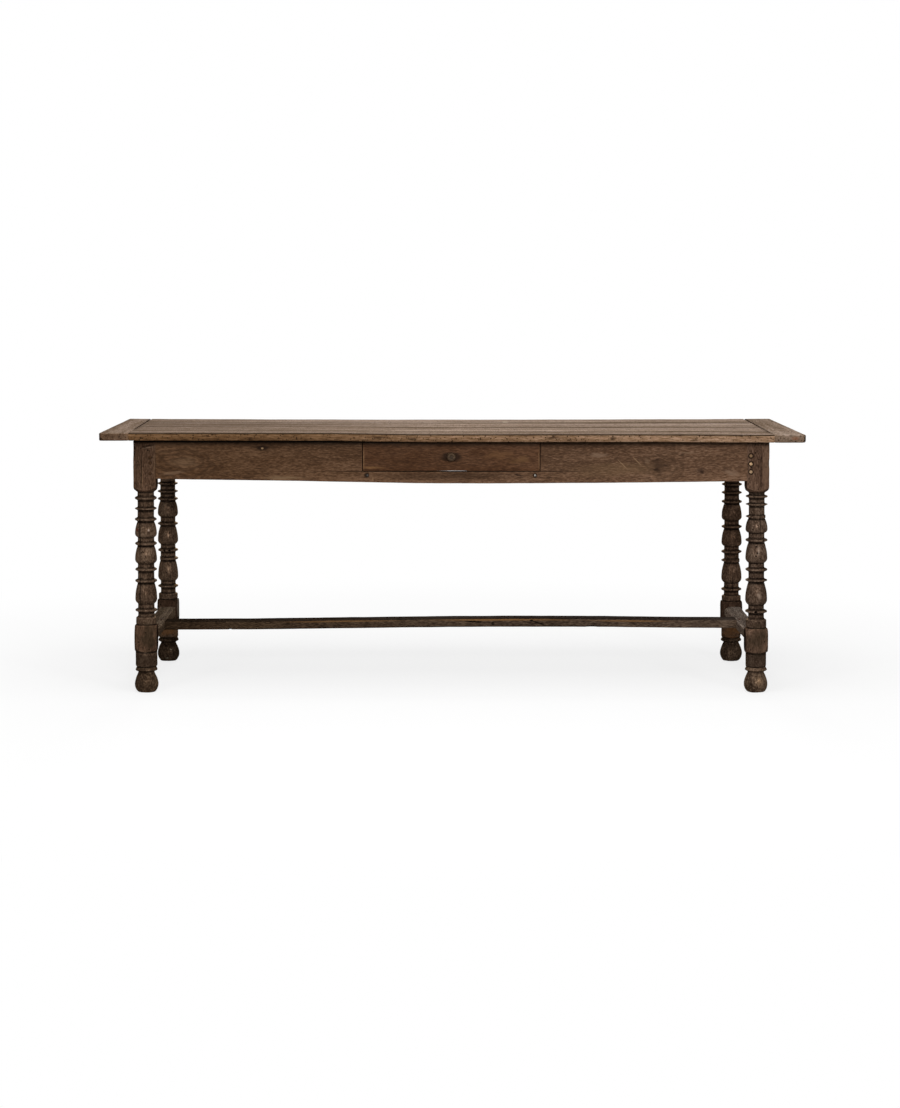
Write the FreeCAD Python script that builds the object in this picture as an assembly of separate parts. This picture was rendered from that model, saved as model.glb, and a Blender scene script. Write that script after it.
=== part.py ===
import FreeCAD, Part
import os

from FreeCAD import Vector

# Refectory table: a plank top with breadboard ends, four hand-turned baluster legs on bun feet,
# an H of stretchers, and one shallow drawer in the front apron.
# Millimetres. X runs along the table to the right, Y to the back and Z up.
# The origin is on the floor, under the middle of the top.

# Whole table
table_length = 2100.0
table_depth = 770.0
table_height = 780.0

# Fits shared by all joints
cheek_play = 0.2
end_play = 2.0
peg_play = 0.1
running_play = 0.3
overrun = 5.0

# Top: four boards lengthwise, front to back, and a breadboard across each end
top_thickness = 23.0
top_corner_radius = 8.0
top_arris_radius = 4.0
board_depth_shares = (0.20, 0.24, 0.32, 0.24)
board_seam = 1.0
breadboard_front_width = 93.0
breadboard_left_back_width = 70.0
breadboard_right_back_width = 83.0
breadboard_seam = 2.0
tongue_length = 28.0
tongue_thickness = 8.0
tongue_stop = 25.0
breadboard_peg_diameter = 8.0
top_dowel_diameter = 10.0
top_dowel_depth_in_board = 13.0
top_dowel_depth_in_apron = 17.0

# Legs: blocks, and the shoulders that the lathe leaves on them
leg_block = 66.0
end_overhang = 101.0
side_overhang = 52.0
upper_block_height = 155.0
lower_block_height = 80.0
ankle_height = 48.0
ankle_groove_height = 5.0
lathe_clear_share = 0.75
upper_shoulder_slope_share = 0.72
lower_shoulder_slope_share = 0.30
ankle_shoulder_slope_share = 0.62

# Turned stem, from the upper block down: order of its members, and their sizes across as shares of the block
stem_members = (
    "neck", "ring", "neck", "ring", "neck", "ring", "baluster",
    "neck", "ring", "baluster",
    "neck", "ring", "neck", "ring", "baluster",
    "neck", "ring", "neck", "drum",
)
ring_share = 0.985
baluster_share = 0.99
drum_share = 0.93
groove_share = 0.90
ring_tip_share = 0.36
baluster_widest_share = 0.77
drum_edge_share = 0.16

# Each leg's own hand: how far its shoulders lie from the common marks, as shares of the block
# (upper block's foot, lower block's top, lower block's foot), its neck and ankle across, also as
# shares of the block, and the heights of its members as shares of the stem
leg_hands = {
    "front_left": {
        "side": (-1, -1),
        "shoulder_shares": (0.01, 0.0, 0.0),
        "neck_share": 0.745,
        "ankle_share": 0.985,
        "member_shares": (0.030, 0.031, 0.052, 0.022, 0.054, 0.030, 0.120,
                          0.031, 0.031, 0.134,
                          0.029, 0.029, 0.056, 0.030, 0.156,
                          0.034, 0.030, 0.031, 0.062),
    },
    "front_right": {
        "side": (1, -1),
        "shoulder_shares": (-0.025, -0.16, -0.075),
        "neck_share": 0.71,
        "ankle_share": 0.93,
        "member_shares": (0.015, 0.024, 0.038, 0.018, 0.071, 0.020, 0.110,
                          0.040, 0.030, 0.154,
                          0.035, 0.030, 0.050, 0.027, 0.171,
                          0.032, 0.030, 0.038, 0.071),
    },
    "rear_left": {
        "side": (-1, 1),
        "shoulder_shares": (0.0, -0.026, 0.0),
        "neck_share": 0.73,
        "ankle_share": 0.96,
        "member_shares": (0.047, 0.025, 0.040, 0.024, 0.035, 0.028, 0.135,
                          0.040, 0.030, 0.154,
                          0.032, 0.030, 0.040, 0.028, 0.170,
                          0.028, 0.030, 0.039, 0.052),
    },
    "rear_right": {
        "side": (1, 1),
        "shoulder_shares": (-0.15, -0.12, -0.06),
        "neck_share": 0.72,
        "ankle_share": 0.95,
        "member_shares": (0.030, 0.025, 0.043, 0.025, 0.047, 0.029, 0.140,
                          0.036, 0.030, 0.147,
                          0.029, 0.030, 0.043, 0.028, 0.169,
                          0.039, 0.030, 0.032, 0.048),
    },
}

# Bun feet, turned apart and let into the legs with a spigot
foot_height = 76.0
foot_diameter = 71.0
foot_base_diameter = 50.0
foot_neck_diameter = 48.0
foot_collar_diameter = 66.0
foot_collar_top_diameter = 57.0
foot_spigot_diameter = 24.0
foot_spigot_length = 34.0
foot_collar_tip_share = 0.90
foot_collar_foot_share = 0.80
foot_neck_share = 0.76
foot_widest_share = 0.31

# Aprons, tenoned into the upper blocks
apron_height = 120.0
apron_thickness = 25.0
apron_setback = 2.0
apron_sag = 7.0
apron_tenon_thickness = 9.0
apron_tenon_setback = 8.0
apron_tenon_shoulder = 15.0
tenon_meeting_wall = 7.0

# Pegs through the apron tenons; their heights are shares of the apron
apron_peg_diameter = 10.0
apron_peg_depth = 34.0
apron_peg_inset = 11.0
apron_peg_inset_front_left = 16.0
apron_peg_proud = 1.5
apron_peg_crown_share = 0.72
pale_peg_height_shares = (0.23, 0.43, 0.63)
dark_peg_height_shares = (0.19, 0.455, 0.59)
plain_peg_height_shares = (0.30, 0.70)

# Stretchers: one at each end, tenoned into the lower blocks, and a bowed one between them
side_stretcher_width = 52.0
side_stretcher_height = 30.0
side_tenon_width = 32.0
side_tenon_height = 14.0
side_tenon_length = 38.0
side_peg_diameter = 9.0
side_peg_depth = 50.0
side_peg_inset = 16.0
long_stretcher_depth = 74.0
long_stretcher_height = 24.0
long_stretcher_bow = 9.0
long_tenon_depth = 50.0
long_tenon_height = 11.0
long_tenon_length = 28.0
long_peg_diameter = 8.0
long_peg_inset = 14.0

# Drawer
drawer_front_width = 528.0
drawer_front_height = 88.0
drawer_front_thickness = 22.0
drawer_front_proud = 3.0
drawer_depth = 480.0
drawer_gap = 2.0
drawer_top_gap = 1.5
drawer_side_thickness = 12.0
drawer_side_height = 76.0
drawer_back_thickness = 10.0
drawer_back_inset = 16.0
drawer_back_drop = 6.0
drawer_back_housing = 4.0
drawer_bottom_thickness = 7.0
drawer_bottom_lift = 9.0
drawer_groove_depth = 5.0
dovetail_length = 14.0
dovetail_root_width = 16.0
dovetail_end_width = 22.0
dovetail_height_shares = (0.30, 0.76)

# Drawer knob
knob_diameter = 28.0
knob_projection = 26.0
knob_collar_diameter = 19.0
knob_neck_diameter = 13.0
knob_shank_diameter = 11.0
knob_collar_share = 0.14
knob_neck_share = 0.34
knob_widest_share = 0.66
knob_face_share = 0.55

# What carries the drawer
runner_width = 60.0
runner_height = 25.0
runner_housing = 8.0
guide_thickness = 16.0
guide_height = 22.0
guide_play = 0.6
stop_length = 20.0
stop_height = 20.0
nail_head_diameter = 8.0
nail_head_height = 2.0
nail_shank_diameter = 4.0
nail_length = 60.0

# Marks worked out from the sizes above
half_length = table_length / 2
half_depth = table_depth / 2
under_top = table_height - top_thickness
leg_outer_x = half_length - end_overhang
leg_outer_y = half_depth - side_overhang
leg_x = leg_outer_x - leg_block / 2
leg_y = leg_outer_y - leg_block / 2
leg_inner_x = leg_outer_x - leg_block
leg_inner_y = leg_outer_y - leg_block
lower_block_foot = foot_height + ankle_height
lower_block_top = lower_block_foot + lower_block_height
upper_block_foot = under_top - upper_block_height
apron_bottom = under_top - apron_height
apron_outer_x = leg_outer_x - apron_setback
apron_inner_x = apron_outer_x - apron_thickness
apron_outer_y = leg_outer_y - apron_setback
apron_inner_y = apron_outer_y - apron_thickness
apron_tenon_length = (
    leg_block - apron_setback - apron_tenon_setback - apron_tenon_thickness - tenon_meeting_wall
)
apron_tenon_top = under_top - apron_tenon_shoulder
apron_tenon_bottom = apron_bottom + apron_tenon_shoulder
stretcher_middle = lower_block_foot + lower_block_height / 2
side_stretcher_bottom = stretcher_middle - side_stretcher_height / 2
side_stretcher_top = stretcher_middle + side_stretcher_height / 2
side_stretcher_inner_x = leg_x - side_stretcher_width / 2
long_stretcher_middle = side_stretcher_bottom + long_stretcher_height / 2
drawer_half = drawer_front_width / 2
drawer_top = under_top - drawer_top_gap
drawer_bottom_edge = drawer_top - drawer_front_height
drawer_face_y = -(apron_outer_y + drawer_front_proud)
drawer_front_back_y = drawer_face_y + drawer_front_thickness
drawer_end_y = drawer_face_y + drawer_depth
drawer_inner_x = drawer_half - drawer_side_thickness
drawer_floor = drawer_bottom_edge + drawer_bottom_lift
runner_top = drawer_bottom_edge - running_play
guide_inner_x = drawer_half + guide_play
runner_outer_x = guide_inner_x + guide_thickness
runner_x = runner_outer_x - runner_width / 2
runner_middle = runner_top - runner_height / 2
pieces = {}


# Small builders
def block(x_pair, y_pair, z_pair):
    """A box between two values on each axis, given in either order."""
    low = Vector(min(x_pair), min(y_pair), min(z_pair))
    high = Vector(max(x_pair), max(y_pair), max(z_pair))
    size = high - low
    return Part.makeBox(size.x, size.y, size.z, low)


def plan_prism(corners, bottom, height):
    """A flat outline in plan, raised by a height."""
    points = [Vector(x, y, bottom) for x, y in corners]
    outline = Part.makePolygon(points + points[:1])
    return Part.Face(outline).extrude(Vector(0, 0, height))


def round_bar(start, direction, diameter, length):
    """A straight round bar from a start point."""
    return Part.makeCylinder(diameter / 2, length, start, direction)


def crowned_peg(start, direction, diameter, depth, proud):
    """A peg driven in from a face point, with a crown that stands proud of that face."""
    outward = direction * -1
    shank = round_bar(start, direction, diameter, depth)
    crown_radius = diameter / 2 * apron_peg_crown_share
    crown = Part.makeCone(diameter / 2, crown_radius, proud, start, outward)
    return shank.fuse(crown).removeSplitter()


def cut_all(shape, tools):
    """A shape less a list of tools."""
    return shape.cut(Part.makeCompound(tools)) if tools else shape


class TurnedOutline:
    """Half the outline of a turned piece, drawn as radius and height, down from its top."""

    def __init__(self, top):
        self.top = top
        self.here = Vector(0, 0, top)
        self.edges = []

    def line_to(self, radius, height):
        there = Vector(radius, 0, height)
        self.edges.append(Part.LineSegment(self.here, there).toShape())
        self.here = there

    def swell_to(self, radius, height, widest_radius, widest_height):
        """An arc to a point; the arc stands upright at the widest radius, at one of its ends."""
        there = Vector(radius, 0, height)
        narrow = there if self.here.z == widest_height else self.here
        reach = widest_radius - narrow.x
        rise = narrow.z - widest_height
        arc_radius = (reach * reach + rise * rise) / (2 * reach)
        centre = Vector(widest_radius - arc_radius, 0, widest_height)
        chord_middle = (self.here + there) / 2
        outward = (chord_middle - centre).normalize()
        middle = centre + outward * arc_radius
        self.edges.append(Part.Arc(self.here, middle, there).toShape())
        self.here = there

    def turned(self):
        """The solid that the outline sweeps about the Z axis."""
        self.line_to(0, self.here.z)
        self.line_to(0, self.top)
        face = Part.Face(Part.Wire(self.edges))
        return face.revolve(Vector(0, 0, 0), Vector(0, 0, 1), 360)


# Top
def joint_x(side, y):
    """Distance from the middle to the joint between boards and one side's breadboard, at a depth."""
    along = (y + half_depth) / table_depth
    back_width = breadboard_left_back_width if side < 0 else breadboard_right_back_width
    width = breadboard_front_width + (back_width - breadboard_front_width) * along
    return half_length - width


def board_outline(front, back, stretch):
    """Plan of a board between two depths, its ends moved out from the joint by a stretch."""
    return [
        (-joint_x(-1, front) - stretch, front),
        (joint_x(1, front) + stretch, front),
        (joint_x(1, back) + stretch, back),
        (-joint_x(-1, back) - stretch, back),
    ]


def rounded_top():
    """The whole top as one slab with rounded corners and a worn upper arris."""
    slab = block((-half_length, half_length), (-half_depth, half_depth), (under_top, table_height))
    corners = [edge for edge in slab.Edges if edge.BoundBox.ZLength > edge.BoundBox.DiagonalLength / 2]
    slab = slab.makeFillet(top_corner_radius, corners)
    upper = [face for face in slab.Faces if face.CenterOfMass.z > table_height - top_arris_radius]
    return slab.makeFillet(top_arris_radius, upper[0].Edges)


top_slab = rounded_top()
tongue_bottom = under_top + (top_thickness - tongue_thickness) / 2
groove_bottom = tongue_bottom - cheek_play
groove_height = tongue_thickness + 2 * cheek_play
top_dowel_x = apron_outer_x - apron_thickness / 2
top_dowel_length = top_dowel_depth_in_board + top_dowel_depth_in_apron
breadboard_peg_tools = {-1: [], 1: []}
breadboard_pegs = []
top_dowels = []
top_dowel_tools = []
board_front = -half_depth
for number, share in enumerate(board_depth_shares, start=1):
    board_back = board_front + table_depth * share
    middle_y = (board_front + board_back) / 2
    is_first = number == 1
    is_last = number == len(board_depth_shares)
    front_edge = board_front if is_first else board_front + board_seam / 2
    back_edge = board_back if is_last else board_back - board_seam / 2
    tongue_front = front_edge + tongue_stop if is_first else front_edge
    tongue_back = back_edge - tongue_stop if is_last else back_edge
    body = plan_prism(board_outline(front_edge, back_edge, -breadboard_seam), under_top, top_thickness)
    tongue = plan_prism(
        board_outline(tongue_front, tongue_back, tongue_length), tongue_bottom, tongue_thickness
    )
    board = body.common(top_slab).fuse(tongue)
    holes = []
    for side in (-1, 1):
        peg_foot = Vector(side * (joint_x(side, middle_y) + tongue_length / 2), middle_y, under_top)
        peg_hole = round_bar(
            peg_foot, Vector(0, 0, 1), breadboard_peg_diameter + 2 * peg_play, top_thickness
        )
        holes.append(peg_hole)
        breadboard_peg_tools[side].append(peg_hole)
        breadboard_pegs.append(
            round_bar(peg_foot, Vector(0, 0, 1), breadboard_peg_diameter, top_thickness)
        )
        dowel_y = (max(front_edge, -leg_inner_y) + min(back_edge, leg_inner_y)) / 2
        dowel_foot = Vector(side * top_dowel_x, dowel_y, under_top - top_dowel_depth_in_apron)
        dowel_hole = round_bar(
            dowel_foot, Vector(0, 0, 1), top_dowel_diameter + 2 * peg_play, top_dowel_length
        )
        holes.append(dowel_hole)
        top_dowel_tools.append(dowel_hole)
        top_dowels.append(round_bar(dowel_foot, Vector(0, 0, 1), top_dowel_diameter, top_dowel_length))
    pieces["top_board_%d" % number] = cut_all(board.removeSplitter(), holes)
    board_front = board_back

for name, side in (("breadboard_left", -1), ("breadboard_right", 1)):
    outline = [
        (side * joint_x(side, -half_depth), -half_depth),
        (side * half_length, -half_depth),
        (side * half_length, half_depth),
        (side * joint_x(side, half_depth), half_depth),
    ]
    groove_front = tongue_stop - cheek_play - half_depth
    groove_back = half_depth - tongue_stop + cheek_play
    groove_reach = tongue_length + end_play
    groove = [
        (side * (joint_x(side, groove_front) - overrun), groove_front),
        (side * (joint_x(side, groove_front) + groove_reach), groove_front),
        (side * (joint_x(side, groove_back) + groove_reach), groove_back),
        (side * (joint_x(side, groove_back) - overrun), groove_back),
    ]
    breadboard = plan_prism(outline, under_top, top_thickness).common(top_slab)
    breadboard = breadboard.cut(plan_prism(groove, groove_bottom, groove_height))
    pieces[name] = cut_all(breadboard, breadboard_peg_tools[side])
pieces["breadboard_pegs"] = Part.makeCompound(breadboard_pegs)
pieces["top_dowels"] = Part.makeCompound(top_dowels)


# Legs
def add_ring(outline, top, bottom, neck_radius):
    """A ring: two slopes that meet in a narrow upright tip."""
    tip_radius = leg_block / 2 * ring_share
    tip = (top - bottom) * ring_tip_share / 2
    middle = (top + bottom) / 2
    outline.line_to(tip_radius, middle + tip)
    outline.line_to(tip_radius, middle - tip)
    outline.line_to(neck_radius, bottom)


def add_baluster(outline, top, bottom, neck_radius):
    """A baluster: it swells slowly to near its foot and closes quickly."""
    widest_radius = leg_block / 2 * baluster_share
    widest_height = top - (top - bottom) * baluster_widest_share
    outline.swell_to(widest_radius, widest_height, widest_radius, widest_height)
    outline.swell_to(neck_radius, bottom, widest_radius, widest_height)


def add_drum(outline, top, bottom):
    """The plain drum above the lower block, eased at both edges."""
    edge = (top - bottom) * drum_edge_share
    drum_radius = leg_block / 2 * drum_share
    outline.line_to(drum_radius, top - edge)
    outline.line_to(drum_radius, bottom + edge)
    outline.line_to(leg_block / 2 * groove_share, bottom)


def turned_leg(hand):
    """A leg about the Z axis: a square blank cut by the lathe's outline."""
    stem_shift, block_shift, foot_shift = hand["shoulder_shares"]
    stem_top = upper_block_foot + leg_block * stem_shift
    stem_bottom = lower_block_top + leg_block * block_shift
    block_foot = lower_block_foot + leg_block * foot_shift
    clear_radius = leg_block * lathe_clear_share
    neck_radius = leg_block / 2 * hand["neck_share"]
    ankle_radius = leg_block / 2 * hand["ankle_share"]
    groove_radius = leg_block / 2 * groove_share
    outline = TurnedOutline(under_top)
    outline.line_to(clear_radius, under_top)
    outline.line_to(clear_radius, stem_top + (clear_radius - neck_radius) * upper_shoulder_slope_share)
    outline.line_to(neck_radius, stem_top)
    member_top = stem_top
    stem_scale = (stem_top - stem_bottom) / sum(hand["member_shares"])
    for member, share in zip(stem_members, hand["member_shares"]):
        member_bottom = member_top - stem_scale * share
        if member == "ring":
            add_ring(outline, member_top, member_bottom, neck_radius)
        elif member == "baluster":
            add_baluster(outline, member_top, member_bottom, neck_radius)
        elif member == "drum":
            add_drum(outline, member_top, member_bottom)
        else:
            outline.line_to(neck_radius, member_bottom)
        member_top = member_bottom
    block_top = stem_bottom - (clear_radius - groove_radius) * lower_shoulder_slope_share
    outline.line_to(clear_radius, block_top)
    outline.line_to(clear_radius, block_foot + (clear_radius - ankle_radius) * ankle_shoulder_slope_share)
    outline.line_to(ankle_radius, block_foot)
    outline.line_to(ankle_radius, foot_height + ankle_groove_height)
    outline.line_to(groove_radius, foot_height)
    half = leg_block / 2
    blank = block((-half, half), (-half, half), (foot_height, under_top))
    return blank.common(outline.turned())


def apron_mortises(side_x, side_y):
    """The two apron mortises of a leg, which stop short of each other."""
    reach = apron_tenon_length + end_play
    outer = apron_setback + apron_tenon_setback - cheek_play
    inner = apron_setback + apron_tenon_setback + apron_tenon_thickness + cheek_play
    heights = (apron_tenon_bottom - cheek_play, apron_tenon_top + cheek_play)
    along_x = block(
        (side_x * (leg_inner_x - overrun), side_x * (leg_inner_x + reach)),
        (side_y * (leg_outer_y - outer), side_y * (leg_outer_y - inner)),
        heights,
    )
    along_y = block(
        (side_x * (leg_outer_x - outer), side_x * (leg_outer_x - inner)),
        (side_y * (leg_inner_y - overrun), side_y * (leg_inner_y + reach)),
        heights,
    )
    return [along_x, along_y]


def stretcher_mortise(side_x, side_y):
    """The mortise of a leg for its side stretcher."""
    half_width = side_tenon_width / 2 + cheek_play
    half_height = side_tenon_height / 2 + cheek_play
    return block(
        (side_x * (leg_x - half_width), side_x * (leg_x + half_width)),
        (side_y * (leg_inner_y - overrun), side_y * (leg_inner_y + side_tenon_length + end_play)),
        (stretcher_middle - half_height, stretcher_middle + half_height),
    )


def apron_peg_places(name, side_x, side_y):
    """Where the pegs of one leg's apron tenons go in, and which way."""
    inset = apron_peg_inset
    face_shares = plain_peg_height_shares
    if name == "front_right":
        face_shares = pale_peg_height_shares
    if name == "front_left":
        face_shares = dark_peg_height_shares
        inset = apron_peg_inset_front_left
    face_places = []
    end_places = []
    for share in face_shares:
        height = apron_bottom + apron_height * share
        start = Vector(side_x * (leg_inner_x + inset), side_y * leg_outer_y, height)
        face_places.append((start, Vector(0, -side_y, 0)))
    for share in plain_peg_height_shares:
        height = apron_bottom + apron_height * share
        start = Vector(side_x * leg_outer_x, side_y * (leg_inner_y + apron_peg_inset), height)
        end_places.append((start, Vector(-side_x, 0, 0)))
    return face_places, end_places


pale_pegs = []
dark_pegs = []
stretcher_pegs = []
apron_peg_tools = []
stretcher_peg_tools = []
for name, hand in leg_hands.items():
    side_x, side_y = hand["side"]
    leg = turned_leg(hand)
    leg.translate(Vector(side_x * leg_x, side_y * leg_y, 0))
    tools = apron_mortises(side_x, side_y)
    tools.append(stretcher_mortise(side_x, side_y))
    face_places, end_places = apron_peg_places(name, side_x, side_y)
    for start, direction in face_places + end_places:
        tool = round_bar(start, direction, apron_peg_diameter + 2 * peg_play, apron_peg_depth)
        tools.append(tool)
        apron_peg_tools.append(tool)
    for start, direction in face_places:
        if name == "front_right":
            peg = crowned_peg(start, direction, apron_peg_diameter, apron_peg_depth, apron_peg_proud)
            pale_pegs.append(peg)
        else:
            dark_pegs.append(round_bar(start, direction, apron_peg_diameter, apron_peg_depth))
    for start, direction in end_places:
        dark_pegs.append(round_bar(start, direction, apron_peg_diameter, apron_peg_depth))
    peg_start = Vector(side_x * leg_outer_x, side_y * (leg_inner_y + side_peg_inset), stretcher_middle)
    peg_way = Vector(-side_x, 0, 0)
    peg_tool = round_bar(peg_start, peg_way, side_peg_diameter + 2 * peg_play, side_peg_depth)
    tools.append(peg_tool)
    stretcher_peg_tools.append(peg_tool)
    stretcher_pegs.append(round_bar(peg_start, peg_way, side_peg_diameter, side_peg_depth))
    spigot_foot = Vector(side_x * leg_x, side_y * leg_y, foot_height)
    tools.append(
        round_bar(
            spigot_foot, Vector(0, 0, 1), foot_spigot_diameter + 2 * peg_play, foot_spigot_length + end_play
        )
    )
    pieces["leg_" + name] = cut_all(leg, tools)
pieces["apron_pegs_pale"] = Part.makeCompound(pale_pegs)
pieces["apron_pegs_dark"] = Part.makeCompound(dark_pegs)


# Feet
def bun_foot():
    """A bun foot about the Z axis: spigot, collar, neck and pear-shaped ball with a flat base."""
    collar_waist_share = (foot_collar_tip_share + foot_collar_foot_share) / 2
    outline = TurnedOutline(foot_height + foot_spigot_length)
    outline.line_to(foot_spigot_diameter / 2, foot_height + foot_spigot_length)
    outline.line_to(foot_spigot_diameter / 2, foot_height)
    outline.line_to(foot_collar_top_diameter / 2, foot_height)
    outline.line_to(foot_collar_diameter / 2, foot_height * foot_collar_tip_share)
    outline.line_to(foot_collar_diameter / 2, foot_height * collar_waist_share)
    outline.line_to(foot_neck_diameter / 2, foot_height * foot_collar_foot_share)
    outline.line_to(foot_neck_diameter / 2, foot_height * foot_neck_share)
    widest_height = foot_height * foot_widest_share
    outline.swell_to(foot_diameter / 2, widest_height, foot_diameter / 2, widest_height)
    outline.swell_to(foot_base_diameter / 2, 0, foot_diameter / 2, widest_height)
    return outline.turned()


foot_pattern = bun_foot()
for name, hand in leg_hands.items():
    side_x, side_y = hand["side"]
    foot = foot_pattern.copy()
    foot.translate(Vector(side_x * leg_x, side_y * leg_y, 0))
    pieces["foot_" + name] = foot


# Aprons
def front_apron_board():
    """The front apron between the legs: sagging lower edge, and a notch for the drawer."""
    left = Vector(-leg_inner_x, -apron_outer_y, apron_bottom)
    lowest = Vector(0, -apron_outer_y, apron_bottom - apron_sag)
    right = Vector(leg_inner_x, -apron_outer_y, apron_bottom)
    right_top = Vector(leg_inner_x, -apron_outer_y, under_top)
    left_top = Vector(-leg_inner_x, -apron_outer_y, under_top)
    lower_edge = Part.Arc(left, lowest, right).toShape()
    upper_edges = Part.makePolygon([right, right_top, left_top, left]).Edges
    face = Part.Face(Part.Wire([lower_edge] + upper_edges))
    board = face.extrude(Vector(0, apron_thickness, 0))
    notch_half = drawer_half + drawer_gap
    notch = block(
        (-notch_half, notch_half),
        (-apron_outer_y - overrun, -apron_inner_y + overrun),
        (drawer_bottom_edge - drawer_gap, under_top + overrun),
    )
    return board.cut(notch)


def apron_tenon(long_pair, cross_pair, is_along_x):
    """A tenon between two values along its apron and two across it."""
    heights = (apron_tenon_bottom, apron_tenon_top)
    if is_along_x:
        return block(long_pair, cross_pair, heights)
    return block(cross_pair, long_pair, heights)


def with_apron_tenons(board, inner, cheek_outer, is_along_x):
    """An apron with a tenon at both ends."""
    inward = -1 if cheek_outer > 0 else 1
    cheeks = (cheek_outer, cheek_outer + inward * apron_tenon_thickness)
    for side in (-1, 1):
        length = (side * inner, side * (inner + apron_tenon_length))
        board = board.fuse(apron_tenon(length, cheeks, is_along_x))
    return board.removeSplitter()


apron_cheek_x = apron_outer_x - apron_tenon_setback
apron_cheek_y = apron_outer_y - apron_tenon_setback
nail_starts = {side: Vector(side * runner_x, -apron_outer_y, runner_middle) for side in (-1, 1)}
nail_tools = [
    round_bar(start, Vector(0, 1, 0), nail_shank_diameter + 2 * peg_play, nail_length)
    for start in nail_starts.values()
]
front_apron = with_apron_tenons(front_apron_board(), leg_inner_x, -apron_cheek_y, True)
pieces["apron_front"] = cut_all(front_apron, apron_peg_tools + nail_tools)

back_board = block((-leg_inner_x, leg_inner_x), (apron_inner_y, apron_outer_y), (apron_bottom, under_top))
back_apron = with_apron_tenons(back_board, leg_inner_x, apron_cheek_y, True)
runner_housings = [
    block(
        (side * (runner_outer_x - runner_width - cheek_play), side * (runner_outer_x + cheek_play)),
        (apron_inner_y - overrun, apron_inner_y + runner_housing + cheek_play),
        (runner_top - runner_height - cheek_play, runner_top + cheek_play),
    )
    for side in (-1, 1)
]
pieces["apron_back"] = cut_all(back_apron, apron_peg_tools + runner_housings)

for name, side in (("apron_left", -1), ("apron_right", 1)):
    end_board = block(
        (side * apron_inner_x, side * apron_outer_x), (-leg_inner_y, leg_inner_y), (apron_bottom, under_top)
    )
    end_apron = with_apron_tenons(end_board, leg_inner_y, side * apron_cheek_x, False)
    pieces[name] = cut_all(end_apron, apron_peg_tools + top_dowel_tools)

# Stretchers
long_peg_x = side_stretcher_inner_x + long_peg_inset
for name, side in (("side_stretcher_left", -1), ("side_stretcher_right", 1)):
    rail = block(
        (side * side_stretcher_inner_x, side * (side_stretcher_inner_x + side_stretcher_width)),
        (-leg_inner_y, leg_inner_y),
        (side_stretcher_bottom, side_stretcher_top),
    )
    tenon_reach = leg_inner_y + side_tenon_length
    tenons = block(
        (side * (leg_x - side_tenon_width / 2), side * (leg_x + side_tenon_width / 2)),
        (-tenon_reach, tenon_reach),
        (stretcher_middle - side_tenon_height / 2, stretcher_middle + side_tenon_height / 2),
    )
    mortise_end = side_stretcher_inner_x + long_tenon_length + end_play
    mortise = block(
        (side * (side_stretcher_inner_x - overrun), side * mortise_end),
        (-long_tenon_depth / 2 - cheek_play, long_tenon_depth / 2 + cheek_play),
        (
            long_stretcher_middle - long_tenon_height / 2 - cheek_play,
            long_stretcher_middle + long_tenon_height / 2 + cheek_play,
        ),
    )
    peg_foot = Vector(side * long_peg_x, 0, side_stretcher_bottom)
    peg_tool = round_bar(
        peg_foot, Vector(0, 0, 1), long_peg_diameter + 2 * peg_play, side_stretcher_height
    )
    stretcher_peg_tools.append(peg_tool)
    stretcher_pegs.append(round_bar(peg_foot, Vector(0, 0, 1), long_peg_diameter, side_stretcher_height))
    rail = rail.fuse(tenons).removeSplitter()
    pieces[name] = cut_all(rail, [mortise] + stretcher_peg_tools)


def bowed_stretcher():
    """The long stretcher: a flat rail, bowed up in the middle, with a tenon at both ends."""
    end = side_stretcher_inner_x
    low = long_stretcher_middle - long_stretcher_height / 2
    high = long_stretcher_middle + long_stretcher_height / 2
    front = -long_stretcher_depth / 2
    lower = Part.Arc(
        Vector(-end, front, low), Vector(0, front, low + long_stretcher_bow), Vector(end, front, low)
    ).toShape()
    upper = Part.Arc(
        Vector(end, front, high), Vector(0, front, high + long_stretcher_bow), Vector(-end, front, high)
    ).toShape()
    right_end = Part.LineSegment(Vector(end, front, low), Vector(end, front, high)).toShape()
    left_end = Part.LineSegment(Vector(-end, front, high), Vector(-end, front, low)).toShape()
    face = Part.Face(Part.Wire([lower, right_end, upper, left_end]))
    rail = face.extrude(Vector(0, long_stretcher_depth, 0))
    for side in (-1, 1):
        tenon = block(
            (side * end, side * (end + long_tenon_length)),
            (-long_tenon_depth / 2, long_tenon_depth / 2),
            (long_stretcher_middle - long_tenon_height / 2, long_stretcher_middle + long_tenon_height / 2),
        )
        rail = rail.fuse(tenon)
    return rail.removeSplitter()


pieces["long_stretcher"] = cut_all(bowed_stretcher(), stretcher_peg_tools)
pieces["stretcher_pegs"] = Part.makeCompound(stretcher_pegs)

# What carries the drawer
drawer_stops = []
for name, side in (("left", -1), ("right", 1)):
    runner = block(
        (side * (runner_outer_x - runner_width), side * runner_outer_x),
        (-apron_inner_y, apron_inner_y + runner_housing),
        (runner_top - runner_height, runner_top),
    )
    pieces["drawer_runner_" + name] = cut_all(runner, nail_tools)
    pieces["drawer_guide_" + name] = block(
        (side * guide_inner_x, side * runner_outer_x),
        (-apron_inner_y, apron_inner_y),
        (runner_top, runner_top + guide_height),
    )
    stop_front = drawer_end_y + running_play
    drawer_stops.append(
        block(
            (side * drawer_inner_x, side * guide_inner_x),
            (stop_front, stop_front + stop_length),
            (runner_top, runner_top + stop_height),
        )
    )
pieces["drawer_stops"] = Part.makeCompound(drawer_stops)

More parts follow.
